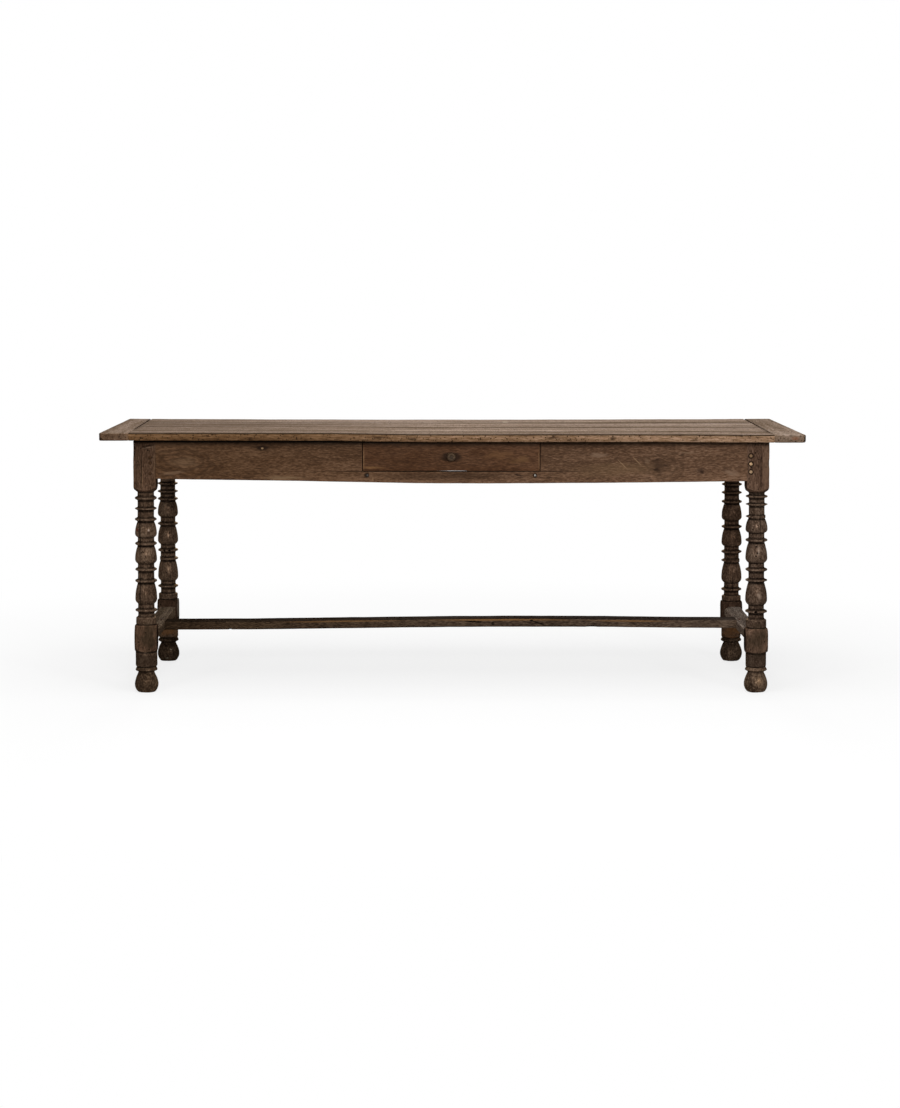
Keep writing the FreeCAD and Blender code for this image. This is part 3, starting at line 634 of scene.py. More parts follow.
def weather(piece, layers):
    """Pushes the surface in and out by soft noise. A layer: size of its clouds, and depth."""
    for size, depth in layers:
        clouds = bpy.data.textures.new(f"{piece.name}_weather", "CLOUDS")
        clouds.noise_scale = size
        clouds.noise_depth = CLOUD_DEPTH
        change(piece, "DISPLACE", texture=clouds, texture_coords="LOCAL", strength=depth)


def lump(x, y, z, wide, deep, high, turn=0.0):
    """A round lump, with its place and radii in millimetres and its turn in degrees."""
    nothing_selected()
    bpy.ops.mesh.primitive_ico_sphere_add(subdivisions=2, radius=1, location=mm(x, y, z),
                                          rotation=(0, math.radians(turn), 0), scale=mm(wide, deep, high))
    bpy.ops.object.transform_apply()
    return bpy.context.object


def bite(piece, hollows):
    """Cuts lumps out of a piece."""
    lumps = [lump(*hollow) for hollow in hollows]
    take(lumps[0])
    for each in lumps:
        each.select_set(True)
    bpy.ops.object.join()
    cutter = bpy.context.object
    change(piece, "BOOLEAN", object=cutter, operation="DIFFERENCE", solver="EXACT", use_self=True)
    bpy.data.objects.remove(cutter)


# %% Notes of wear
def read(items, name, width, kind=float):
    """One row of values for each item of a mesh."""
    values = np.empty(len(items) * width, kind)
    items.foreach_get(name, values)
    return values.reshape(-1, width)


def corners_of(piece):
    """The places of a piece's vertices, as rows."""
    nothing_selected()
    return read(piece.data.vertices, "co", 3)


def move_corners(piece, places):
    """Puts a piece's vertices at new places."""
    piece.data.vertices.foreach_set("co", places.ravel())
    piece.data.update()


def note_wear(piece, passes, sharpest, deepest):
    """Keeps on each vertex how far it stands out (wear) or lies in a hollow (grime)."""
    mesh = piece.data
    places = corners_of(piece)
    ends = read(mesh.edges, "vertices", 2, int)
    one, other = ends.T
    links = np.maximum(np.bincount(ends.ravel(), minlength=len(places)), 1)

    def around(values):
        """The mean of each vertex's neighbours."""
        total = np.zeros_like(values)
        np.add.at(total, one, values[other])
        np.add.at(total, other, values[one])
        return (total.T / links).T

    facing = read(mesh.vertex_normals, "vector", 3)
    span = np.linalg.norm(places[one] - places[other], axis=1).mean()
    out = np.einsum("ij,ij->i", places - around(places), facing) / span ** 2
    for _ in range(passes):
        out = (out + around(out)) / 2
    for name, full in (("wear", sharpest), ("grime", -deepest)):
        layer = mesh.attributes.new(name, "FLOAT", "POINT")
        layer.data.foreach_set("value", np.clip(out / full, 0, 1))


def stain(piece, shares):
    """Adds dirt to the vertices of a piece that has its wear noted, and on the legs painted shade."""
    layer = piece.data.attributes["grime"].data
    layer.foreach_set("value", np.maximum(read(layer, "value", 1)[:, 0], shares))


# %% Hand over a piece
SMOOTH_ANGLE = math.radians(38)


def hand_over(piece, body, slot, finish, *nodes):
    """Gives a finished piece its finish and its place in the table."""
    take(piece)
    bpy.ops.object.shade_smooth_by_angle(angle=SMOOTH_ANGLE)
    piece.data.materials.clear()
    piece.data.materials.append(finish)
    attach(piece, body)
    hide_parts(*nodes)
    print(piece.name, len(piece.data.polygons), "faces")


# %% [markdown]
# ## The top
# Four boards run between two breadboard ends, which are wider at the front than at the back. The joints
# with the breadboards have opened towards the back, where the boards have shrunk. The top has also warped:
# its front edge has lifted at the left and both back corners curl up. The flat solids could be kept, but a
# face without cuts cannot bend. So each board is a new cube with slanted ends, a tongue on each of them
# and arrises that hands and elbows have rounded, cut up finely enough to follow the warp.

# %% The warp of the top
top_low, top_high = cad_low.copy(), cad_high.copy()
top_low.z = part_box("top_board_1")[0].z
FRONT_LIFT = 0.0042
FRONT_LIFT_SPAN = (-0.05, -0.42)
FRONT_DROP = 0.0015
FRONT_DROP_SPAN = (0.55, 0.95)
BACK_CURL = 0.003


def smooth(values, start, end):
    """0 before the start and 1 after the end, with a soft run between them."""
    share = np.clip((values - start) / (end - start), 0, 1)
    return share * share * (3 - 2 * share)


def back_share(y):
    """0 at the front edge of the top and 1 at the back."""
    return (y - top_low.y) / (top_high.y - top_low.y)


def warp(piece):
    """Bends a piece of the top as the whole top is bent."""
    places = corners_of(piece)
    along, share = places[:, 0], back_share(places[:, 1])
    front = FRONT_LIFT * smooth(along, *FRONT_LIFT_SPAN) - FRONT_DROP * smooth(along, *FRONT_DROP_SPAN)
    back = BACK_CURL * (along / top_high.x) ** 2
    places[:, 2] += front * (1 - share) + back * share
    move_corners(piece, places)


print("top of", round((top_high.z - top_low.z) / MM, 1), "mm")

# %% Joints and dirt of the top
SIDES = (-1, 1)
BREADBOARD_FRONT = 0.093
BREADBOARD_BACK = {-1: 0.070, 1: 0.083}
JOINT_DIRT = 0.0045
JOINT_DIRT_START = {-1: (-0.26, -0.14), 1: (-0.38, -0.24)}
TOP_WEATHER = ((0.22, 0.0014), (0.035, 0.0005))
# rounds of smoothing, then what counts as fully worn and as fully dirty
FLAT_WEAR = (1, 260, 200)


def joint_at(side, y):
    """How far from the middle the joint of one side lies at a depth y."""
    return top_high.x - BREADBOARD_FRONT - (BREADBOARD_BACK[side] - BREADBOARD_FRONT) * back_share(y)


def joint_dirt(places, side_way):
    """Dirt in the open part of the joints, with a side way of -1 on boards and 1 on breadboards."""
    along, depth = places[:, 0], places[:, 1]
    dirt = np.zeros(len(places))
    for side in SIDES:
        away = (along * side - joint_at(side, depth)) * side_way
        close = (1 - smooth(away, 0, JOINT_DIRT)) * (along * side > 0)
        dirt = np.maximum(dirt, close * smooth(depth, *JOINT_DIRT_START[side]))
    return dirt


def finish_top(piece, dirt, finish, node):
    """Warps a piece of the top, notes its wear and dirt and hands it over."""
    warp(piece)
    note_wear(piece, *FLAT_WEAR)
    stain(piece, dirt)
    hand_over(piece, "frame", "top_oak", finish, node)


# %% Boards
JOINT_FRONT = 0.0004
JOINT_BACK = {-1: 0.0036, 1: 0.0044}
TONGUE_LENGTH = 0.018
TONGUE_SHOULDER = 0.007
CAD_SEAM = 0.001
SEAM = 0.0001
SEAM_FILL = (CAD_SEAM - SEAM) / 2
FACING = 0.9
BOARD_ARRIS = (0.0014, 2)
FRONT_RADIUS = 0.004
FRONT_ARRIS = (FRONT_RADIUS, 4)
FRONT_EDGE_DEPTH = 0.03
BOARD_STEPS = {0: 0.008, 1: 0.012}
SEAM_DIRT = 0.0060
SEAM_STRENGTH = 0.9
ARRIS_FOOT = 0.15
ARRIS_SPAN = (-0.2, 1.3)
ARRIS_STRENGTH = 0.85


def on_skin(corner):
    """Whether a corner lies on the upper or lower face of the top."""
    return min(abs(corner.co.z - top_low.z), abs(corner.co.z - top_high.z)) < NEAR


def board_dirt(places, front, back):
    """Dirt in the seams and joints of a board, and on the arris of the front one."""
    dirt = joint_dirt(places, -1)
    for y in (front, back):
        if y not in (top_low.y, top_high.y):
            dirt = np.maximum(dirt, SEAM_STRENGTH * (1 - smooth(np.abs(places[:, 1] - y), 0, SEAM_DIRT)))
    if front == top_low.y:
        below = (places[:, 2] - top_high.z + FRONT_RADIUS) / FRONT_RADIUS
        behind = (places[:, 1] - front) / FRONT_RADIUS
        on_arris = (below > ARRIS_FOOT) & (behind > ARRIS_SPAN[0]) & (behind < ARRIS_SPAN[1])
        dirt = np.maximum(dirt, ARRIS_STRENGTH * on_arris)
    return dirt


def board(node, finish):
    """One board of the top."""
    low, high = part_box(node)
    front = low.y if low.y == top_low.y else low.y - SEAM_FILL
    back = high.y if high.y == top_high.y else high.y + SEAM_FILL
    piece = blank(node, (-1, front, top_low.z), (1, back, top_high.z))
    for side in SIDES:
        for y in (front, back):
            gap = JOINT_FRONT + (JOINT_BACK[side] - JOINT_FRONT) * back_share(y)
            reach = joint_at(side, y) - gap - 1
            nudge(piece, lambda place: place.x * side > 0 and abs(place.y - y) < NEAR, (side * reach, 0, 0))
        pick(piece, "faces", lambda face: face.normal.x * side > FACING)
        bpy.ops.mesh.inset(thickness=TONGUE_SHOULDER)
        extrude((side * TONGUE_LENGTH, 0, 0))
    if front == top_low.y:
        ease(piece, FRONT_ARRIS, lambda edge: middle(edge).y < front + NEAR and runs(edge, 0))
    behind = top_low.y + FRONT_EDGE_DEPTH
    ease(piece, BOARD_ARRIS, lambda edge: all(map(on_skin, edge.verts)) and middle(edge).y > behind)
    cut_up(piece, BOARD_STEPS)
    weather(piece, TOP_WEATHER)
    finish_top(piece, board_dirt(corners_of(piece), front, back), finish, node)


# %% [markdown]
# ## Finish of the boards
# The top has been scrubbed more often than waxed. It is the palest and driest part of the table, grey with
# long streaks and peppered with worm holes, and its front edge has dark dents. Part of the grey of its upper
# faces is a painted sheen, and a painted side light darkens its left end. Four finishes could be mixed from
# nothing. One recipe is used four times instead, with the grain shifted and the tone a little lighter or
# darker, because the boards are alike but no two are the same.

# %% Finish of the boards
# painted side light on the front edge and on the upper faces of the top, darker at the left
PAINTED_SIDE_LIGHT_ON_EDGE = (TABLE_SPAN, (1.20, 1.20, 1.24, 1), (2.00, 2.28, 3.00, 1))
PAINTED_SIDE_LIGHT_ON_TOP = ((-1.05, 0.1), (0.69, 0.68, 0.66, 1), (0.89, 0.89, 0.87, 1))
# grey of the scrubbed top, with a painted sheen on its upper faces
TOP_GREY_AND_SHEEN = (2.52, 3.42, 5.7, 1)
TOP_PITS = (120, 0.36, 0.85)
TOP_LOOK = {"layers": TOP_LAYERS, "grey_and_sheen": TOP_GREY_AND_SHEEN, "side_light_above": PAINTED_SIDE_LIGHT_ON_TOP, "pits": TOP_PITS, **MATT}
BOARD_LEVELS = (0.96, 1.04, 0.94, 1.03)
EDGE_DARK = (34, 22, 13)
EDGE = top_low.y / MM
TOP_MARKS = [
    ((176, 160, 142), 0.6, 178, 252, 780, 12, 50, 20, 0, 0.6),
    ((70, 54, 42), 0.6, 346, 89, 780, 160, 14, 20, 0, 0.9),
    ((84, 66, 50), 0.5, -350, -50, 780, 220, 20, 20, 0, 0.9),
    ((80, 62, 48), 0.5, -620, 160, 780, 300, 18, 20, 0, 0.9),
] + on_face(EDGE, [
    (EDGE_DARK, 0.7, -215, 770.5, 26, 6, 0, 0.8),
    (EDGE_DARK, 0.7, -115, 766, 20, 6, 0, 0.8),
    (EDGE_DARK, 0.6, 300, 770, 34, 6, 0, 0.8),
    (EDGE_DARK, 0.7, 478, 768, 14, 9, 0, 0.8),
    (EDGE_DARK, 0.7, -596, 767, 13, 8, 0, 0.8),
    (EDGE_DARK, 0.6, -790, 764, 18, 6, 0, 0.8),
    (EDGE_DARK, 0.6, 720, 763, 16, 6, 0, 0.8),
])

for shift, level in enumerate(BOARD_LEVELS):
    node = f"top_board_{shift + 1}"
    board(node, oak(f"{node}_oak", "x", deeper(TOP_TONES, level), shift=shift, side_light=PAINTED_SIDE_LIGHT_ON_EDGE,
                    marks=TOP_MARKS, **TOP_LOOK))

# %% [markdown]
# ## Breadboard ends
# A breadboard runs across the ends of the boards and keeps them flat. The two could be modelled one by
# one, but they differ only in their slant and their chips. So one function makes both: a cube whose inner
# long side is slanted by moving two corners, with rounded outer corners and every other arris eased. The
# left one is mirrored. The lower corners have lost a chip where the table was stood on its end.

# %% Breadboards
END_ARRIS = (0.003, 3)
WORN_SHORT = {-1: 0.006, 1: 0.0}
CORNER_ROUND = (0.008, 4)
BREADBOARD_STEPS = {0: 0.010, 1: 0.008}
CORNER_CHIPS = {
    -1: [(-1043, -386, 759.5, 12, 10, 6), (-1016, -388, 757, 14, 7, 5)],
    1: [(1050, -384, 758, 10, 12, 7), (1012, -388, 757.5, 20, 6, 4)],
}


def breadboard(node, side, finish):
    """One of the boards across the ends."""
    outer = top_high.x
    inner = outer - BREADBOARD_FRONT
    piece = blank(node, (inner, top_low.y, top_low.z), (outer, top_high.y, top_high.z))
    slant = BREADBOARD_FRONT - BREADBOARD_BACK[side]
    nudge(piece, lambda place: place.x < inner + NEAR and place.y > 0, (slant, 0, 0))
    nudge(piece, lambda place: place.x > outer - NEAR and place.y < 0, (-WORN_SHORT[side], 0, 0))
    worn = outer - WORN_SHORT[side] - NEAR
    ease(piece, CORNER_ROUND, lambda edge: runs(edge, 2) and middle(edge).x > worn)
    ease(piece, END_ARRIS, lambda edge: not runs(edge, 2))
    cut_up(piece, BREADBOARD_STEPS)
    if side < 0:
        bpy.ops.mesh.select_all(action="SELECT")
        bpy.ops.transform.resize(value=(-1, 1, 1), center_override=(0, 0, 0))
        bpy.ops.mesh.normals_make_consistent(inside=False)
    bite(piece, CORNER_CHIPS[side])
    weather(piece, TOP_WEATHER)
    finish_top(piece, joint_dirt(corners_of(piece), 1), finish, node)


# %% Finish of the breadboards
# painted side light on the breadboard ends, darker at the left
PAINTED_SIDE_LIGHT_ON_ENDS = (TABLE_SPAN, (0.75, 0.85, 1.18, 1), (1.21, 1.55, 2.36, 1))
END_STREAKS = 0.4
END_LEVELS = {"breadboard_left": (-1, 1.08), "breadboard_right": (1, 0.92)}
BREADBOARD_MARKS = [
    ((122, 80, 56), 0.5, 1018, -385, 768, 16, 20, 8, 0, 0.7),
    # dark on the rounded outer corners of the front edge: painted shade
    (EDGE_DARK, 0.5, -1041, -385, 768, 6, 20, 14, 0, 0.8),
    (EDGE_DARK, 0.85, 1050, -380, 766, 9, 20, 18, 0, 0.6),
]
for node, (side, level) in END_LEVELS.items():
    breadboard(node, side, oak(f"{node}_oak", "y", deeper(TOP_TONES, level), side_light=PAINTED_SIDE_LIGHT_ON_ENDS,
                               streaks=END_STREAKS, marks=BREADBOARD_MARKS, **TOP_LOOK))

# %% [markdown]
# ## Aprons
# The aprons are planks on edge between the legs. The front one is cut out for the drawer and its lower
# edge sags in the middle. The notch could be cut with a Boolean modifier, but that leaves long thin faces
# that do not bend well. So it starts as the plank left of the drawer: a bisect marks the sill, the end
# below the sill is extruded under the drawer and on to the right, and the right end is extruded up again.
# The other three are plain planks.

# %% Aprons
APRON_ARRIS = (0.0015, 2)
# half the room between the legs, along and across the table, and how far a piece is housed in them
BLOCK_INNER = (0.883, 0.267)
HOUSED = 0.002
NOTCH_PLAY = 0.002
SILL_PLAY = 0.0012
APRON_FOOT = 0.637
SAG_HEIGHT = 0.02
LEFT_RISE = 0.0066
LEFT_RISE_SPAN = (0.05, -0.62)
APRON_STEP = 0.009
APRON_WEATHER = ((0.12, 0.0010), (0.025, 0.0005))
front_low, front_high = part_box("apron_front")
drawer_low, drawer_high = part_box("drawer_front")
APRON_SAG = front_low.z - APRON_FOOT


def age_plank(piece, slot, finish, node, body="frame"):
    """Weathers a plank, notes its wear and hands it over."""
    weather(piece, APRON_WEATHER)
    note_wear(piece, *FLAT_WEAR)
    hand_over(piece, body, slot, finish, node)


def between_legs(node, along):
    """The box of a piece between two legs, without its tenons."""
    low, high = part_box(node)
    high[along] = BLOCK_INNER[along] + HOUSED
    low[along] = -high[along]
    return low, high


print("front apron sags by", round(APRON_SAG / MM, 1), "mm")

# %% [markdown]
# ## Marks on the front apron
# The front apron is the board that is looked at longest. It has knots with rings round them, pale scuffs,
# scratches and dark stains round two nails below the drawer. A painted shadow lies under the top, and
# painted shade darkens the gap below the drawer and the rail under it. Noise could scatter such marks, but
# it would not know where they belong. So each is one row, with its own place.

# %% Marks on the front apron
FACE = front_low.y / MM
# SHADE: the near black of painted shade and painted shadow
SHADE = (6, 3, 2)
KNOT = (30, 18, 11)
SCRATCH = (142, 114, 86)
# painted shadow of the top's overhang: a dark band just under the top on the apron, the legs and the drawer
PAINTED_SHADOW_UNDER_TOP = [
    (SHADE, 0.9, 0, FACE, 760, 3000, 100, 30, 0, 0.95, 0.06),
    (SHADE, 0.95, 0, FACE, 760, 3000, 100, 9, 0, 0.35, 0.03),
]
# painted shade in the gap between the drawer and the sill
PAINTED_SHADE_IN_DRAWER_GAP = (SHADE, 0.85, 0, FACE, 666.5, 550, 40, 2.6, 0, 0.6, 0.1)
APRON_MARKS = on_face(FACE, [
    # painted shade over the rail below the drawer
    (SHADE, 0.14, -20, 655, 270, 11, 0, 0.5, 0.3),
    ((112, 88, 66), 0.4, -800, 694, 60, 20, 0, 0.9, 0.7),
    ((116, 92, 72), 0.5, -830, 662, 45, 8, -8, 0.8, 0.7),
    ((122, 98, 74), 0.65, -505, 647, 75, 8, 0, 0.8, 0.8),
    ((128, 104, 86), 0.55, 440, 715, 36, 10, 0, 0.9, 0.7),
    ((128, 104, 86), 0.6, 838, 660, 34, 14, 20, 0.9, 0.7),
    ((116, 92, 66), 0.3, 500, 672, 200, 30, 0, 0.9, 0.6),
    ((120, 96, 76), 0.45, 585, 697, 12, 10, 0, 0.8, 0.5),
    ((122, 98, 78), 0.45, 700, 722, 45, 4, 0, 0.9, 0.6),
    ((52, 35, 22), 0.6, -565, 738, 70, 12, 4, 0.8, 0.5),
    (KNOT, 0.95, -565, 737, 26, 9, 0, 0.6, 0.5),
    ((150, 122, 92), 0.95, -564, 735.5, 4.5, 3.2, 0, 0.4),
    ((54, 38, 28), 0.65, 620, 681, 32, 26, 12, 0.8, 0.5),
    (KNOT, 0.8, 614, 671, 15, 7.5, 8, 0.8, 0.7),
    (KNOT, 0.7, 612, 702, 22, 5.5, -16, 0.9, 0.7),
    (KNOT, 0.6, 621, 656, 10, 5.5, 0, 0.9, 0.6),
    (KNOT, 0.55, 640, 683, 12, 5, 20, 0.9, 0.7),
    (KNOT, 0.4, 0, 650, 290, 16, 0, 0.9, 0.4),
    ((54, 38, 30), 0.7, 744, 668, 20, 14, 0, 0.8, 0.5),
    (KNOT, 0.75, 748, 664, 10, 8, 0, 0.8, 0.6),
    (KNOT, 0.7, 688, 716, 10, 3.5, -15, 0.7),
    (SCRATCH, 0.75, 511, 687, 26, 1.6, 45, 0.6, 0.2),
    (SCRATCH, 0.75, 554, 697, 24, 1.6, 45, 0.6, 0.2),
    (KNOT, 0.85, 200, 655, 16, 3.8, 12, 0.7, 0.7),
    (KNOT, 0.65, 208, 648, 14, 2.6, -8, 0.7, 0.7),
    (KNOT, 0.65, 292, 648, 12, 5, 0, 0.7, 0.7),
    (SCRATCH, 0.7, -234, 643, 1.8, 10, 0, 0.6, 0.2),
    ((22, 14, 9), 0.9, -253, 655, 9.5, 11, 0, 0.5),
    ((26, 17, 11), 0.85, 250, 654, 8.5, 10, 0, 0.5),
# the apron also gets the painted shade of the drawer gap and the painted shadow under the top
]) + [PAINTED_SHADE_IN_DRAWER_GAP, *PAINTED_SHADOW_UNDER_TOP]
APRON_SWIRLS = [
    ((42, 28, 18), 0.45, 5, (-800, FACE, 692), (150, 50, 75)),
    ((46, 32, 22), 0.35, 4, (616, FACE, 680), (100, 50, 60)),
]
print(len(APRON_MARKS), "marks on the front apron")

# %% Front apron
reach = BLOCK_INNER[0] + HOUSED
notch = drawer_high.x + NOTCH_PLAY
sill = drawer_low.z - SILL_PLAY
piece = blank("apron_front", (-reach, front_low.y, APRON_FOOT), (-notch, front_high.y, front_high.z))
bpy.ops.mesh.bisect(plane_co=(0, 0, sill), plane_no=(0, 0, 1))
pick(piece, "faces", lambda face: face.normal.x > FACING and middle(face).z < sill)
extrude((2 * notch, 0, 0))
extrude((reach - notch, 0, 0))
pick(piece, "faces", lambda face: face.normal.z > FACING and middle(face).x > notch)
extrude((0, 0, front_high.z - sill))
ease(piece, APRON_ARRIS)
cut_up(piece, {0: APRON_STEP, 2: APRON_STEP})
places = corners_of(piece)
low_share = np.clip(1 - (places[:, 2] - APRON_FOOT) / SAG_HEIGHT, 0, None)
rise = LEFT_RISE * smooth(places[:, 0], *LEFT_RISE_SPAN)
places[:, 2] += low_share * (APRON_SAG * (1 - (places[:, 0] / reach) ** 2) + rise)
move_corners(piece, places)
apron_oak = oak("apron_oak", "x", APRON_TONES, swirls=APRON_SWIRLS, marks=APRON_MARKS)
age_plank(piece, "apron_oak", apron_oak, "apron_front")

# %% Plain aprons
BACK_SHIFT = 3
END_SHIFT = 5
back_oak = oak("hidden_oak", "x", APRON_TONES, shift=BACK_SHIFT)
end_oak = oak("end_oak", "y", APRON_TONES, shift=END_SHIFT)
PLAIN_APRONS = {"apron_back": (0, back_oak), "apron_left": (1, end_oak), "apron_right": (1, end_oak)}
for node, (along, finish) in PLAIN_APRONS.items():
    steps = {along: APRON_STEP, 2: APRON_STEP}
    age_plank(plank(node, *between_legs(node, along), APRON_ARRIS, steps), "apron_oak", finish, node)

# %% [markdown]
# ## Turned legs
# The legs are the pieces that take most skill: squares left on the blank, and three balusters and seven
# rings turned between them by eye, so that no two legs have the same spacing. An outline could be spun, as
# for the feet below, but a spin cannot leave squares, and the solids already hold each leg's own outline.
# So a copy of the solid is remeshed into small even squares. Then its vertices are pulled in towards the
# axis where a ring is chipped or broken off, a corner is dented or the lower square is rounded by feet.
# Noise takes the machine edge off the rings, and dirt and painted shade go into the grooves beside them.

# %% Legs
BLOCK_HALF = 0.033
UPPER_BLOCK = (0.640, 0.750)
RING_LIP = 0.034
CHIP_SIZES = (0.004, 0.008)
DENT_SIZES = (0.004, 0.007)
DENT_LENGTH = 2.5
RINGS_CHIPPED = 14
CORNERS_DENTED = 9
PILLOW_RADIUS = 0.0425
PILLOW_DROP = 0.0075
PILLOW_POWER = 4
PILLOW_END = 1.0194
BROKEN_RADIUS = 0.0262
BROKEN_HALF_HEIGHT = 0.0085
BROKEN_RUN = math.radians(14)
# place of the axis, ends of the lower square, foot of the upper one, heights of the rings, and the ring that
# has broken off: its height, the side that kept its lip and half the lip's width, in degrees from the right
Leg = namedtuple("Leg", "axis pillow shoulder rings broken")
LEGS = {
    "front_left": Leg((-0.916, -0.300), (0.124, 0.204), 0.6035,
                      (0.5821, 0.5512, 0.5185, 0.4455, 0.3680, 0.3336, 0.2452), None),
    "front_right": Leg((0.916, -0.300), (0.119, 0.1934), 0.6012,
                       (0.5877, 0.5642, 0.4558, 0.3670, 0.3354, 0.2413), (0.5275, 180, 30)),
    "rear_left": Leg((-0.916, 0.300), (0.124, 0.2023), 0.6028,
                     (0.5766, 0.5511, 0.5266, 0.4455, 0.3597, 0.2422), (0.3325, -30, 80)),
    "rear_right": Leg((0.916, 0.300), (0.120, 0.196), 0.5929,
                      (0.5735, 0.5466, 0.5170, 0.4355, 0.3539, 0.2316), (0.3256, 180, 35)),
}
print("whole rings", {corner: len(leg.rings) for corner, leg in LEGS.items()})


def pull_in(places, axis, limit):
    """Pulls vertices in to a greatest distance from a leg's axis."""
    out = places[:, :2] - axis
    keep = np.minimum(limit / np.maximum(np.linalg.norm(out, axis=1), NEAR), 1)
    places[:, :2] = axis + out * keep[:, None]


def dent(places, axis, centre, size, length=1.0):
    """Presses a round hollow in towards a leg's axis."""
    away = (places - centre) / (size, size, size * length)
    depth = size * np.clip(1 - (away ** 2).sum(axis=1), 0, None)
    pull_in(places, axis, np.linalg.norm(places[:, :2] - axis, axis=1) - depth)


def chip(places, node, leg):
    """Chips in a leg's rings and dents in the corners of its squares."""
    draw = random.Random(node)
    x, y = leg.axis
    for _ in range(RINGS_CHIPPED):
        turn = draw.uniform(0, 2 * math.pi)
        centre = (x + RING_LIP * math.cos(turn), y + RING_LIP * math.sin(turn), draw.choice(leg.rings))
        dent(places, leg.axis, centre, draw.uniform(*CHIP_SIZES))
    for _ in range(CORNERS_DENTED):
        side_x, side_y = draw.choice(SIDES), draw.choice(SIDES)
        height = draw.choice((draw.uniform(*UPPER_BLOCK), draw.uniform(*leg.pillow)))
        centre = (x + side_x * BLOCK_HALF, y + side_y * BLOCK_HALF, height)
        dent(places, leg.axis, centre, draw.uniform(*DENT_SIZES), DENT_LENGTH)


def break_ring(places, axis, height, kept, kept_half):
    """Breaks a ring off, all but a lip."""
    out = places[:, :2] - axis
    radius = np.linalg.norm(out, axis=1)
    side = np.arctan2(out[:, 1], out[:, 0])
    off = np.abs((side - math.radians(kept) + math.pi) % (2 * math.pi) - math.pi)
    share = smooth(off, math.radians(kept_half), math.radians(kept_half) + BROKEN_RUN)
    share = share * (np.abs(places[:, 2] - height) < BROKEN_HALF_HEIGHT)
    pull_in(places, axis, radius + (np.minimum(radius, BROKEN_RADIUS) - radius) * share)


def pillow(places, axis, low, high):
    """Rounds the corners of the lower square, most of all at its ends."""
    end_share = np.abs(places[:, 2] - (low + high) / 2) / ((high - low) / 2)
    rounded = PILLOW_RADIUS - PILLOW_DROP * end_share ** PILLOW_POWER
    pull_in(places, axis, np.where(end_share < PILLOW_END, rounded, 1))


# %% Dirt, squares and assembly of a leg
VOXEL = 0.0016
LEG_WEATHER = ((0.05, 0.0012), (0.012, 0.0005))
LEG_WEAR = (1, 240, 60)
GROOVE_WIDTH = 0.0020
# places from a ring's middle, and how dark they are: dirt, with more below the ring as painted shade
RING_GROOVES = {-0.0068: 0.9, 0.0064: 0.6}
# dark at the foot of the upper square and under the lower square: dirt and painted shade
SHOULDER_DIRT_AND_SHADE = 0.8
ANKLE_FOOT = 0.078
ANKLE_FOOT_DIRT = 0.9
ANKLE_TOP = 0.003
ANKLE_TOP_DIRT_AND_SHADE = 0.95


def groove_dirt_and_shade(heights, leg):
    """Dirt in the grooves beside each ring, under each square and above the foot, with painted shade below
    the rings and squares, as a share for each height.
    """
    dirt = np.zeros(len(heights))
    broken = leg.broken[:1] if leg.broken else ()
    ankle_top = leg.pillow[0] - ANKLE_TOP
    grooves = {leg.shoulder: SHOULDER_DIRT_AND_SHADE, ankle_top: ANKLE_TOP_DIRT_AND_SHADE, ANKLE_FOOT: ANKLE_FOOT_DIRT}
    for ring in (*leg.rings, *broken):
        grooves.update({ring + away: strength for away, strength in RING_GROOVES.items()})
    for groove, strength in grooves.items():
        dirt = np.maximum(dirt, strength * np.exp(-((heights - groove) / GROOVE_WIDTH) ** 2))
    return dirt


def square_parts(piece, leg, finish):
    """Gives a leg's squares a finish of their own."""
    piece.data.materials.append(finish)
    heights = read(piece.data.polygons, "center", 3)[:, 2]
    square = (heights > leg.shoulder) | ((heights > leg.pillow[0]) & (heights < leg.pillow[1]))
    piece.data.polygons.foreach_set("material_index", square.astype(int))


def turned_leg(node, leg, finish, square_finish):
    """One leg, chipped and worn."""
    piece = cad_copy(node)
    change(piece, "REMESH", mode="VOXEL", voxel_size=VOXEL)
    places = corners_of(piece)
    pillow(places, leg.axis, *leg.pillow)
    chip(places, node, leg)
    if leg.broken:
        break_ring(places, leg.axis, *leg.broken)
    move_corners(piece, places)
    weather(piece, LEG_WEATHER)
    note_wear(piece, *LEG_WEAR)
    stain(piece, groove_dirt_and_shade(corners_of(piece)[:, 2], leg))
    hand_over(piece, "frame", "turned_oak", finish, node)
    square_parts(piece, leg, square_finish)


# %% [markdown]
# ## Finish of the legs
# The turned parts were waxed and rubbed. A small metallic share gives them a warm shine, where plain gloss
# would draw a white rim round every ring. The squares were only planed, so they have a matt finish of
# their own. The marks are single things on single legs: cracks along the grain, worm holes, dents, dark
# rims round the pegs, and dirt where mops and feet have reached. Some of them are painted light: highlights
# on the front balusters, a lit inner face on the rear left square, painted shade on the inner sides of the
# front squares and on their ankles, and the painted shadow under the top. The rear legs and feet are also
# painted darker, as the shade under the table.

# %% Finish of the legs
# painted side light on the legs, darker at the left
PAINTED_SIDE_LIGHT_ON_LEGS = (TABLE_SPAN, (0.95, 0.93, 0.90, 1), (1.05, 1.06, 1.10, 1))
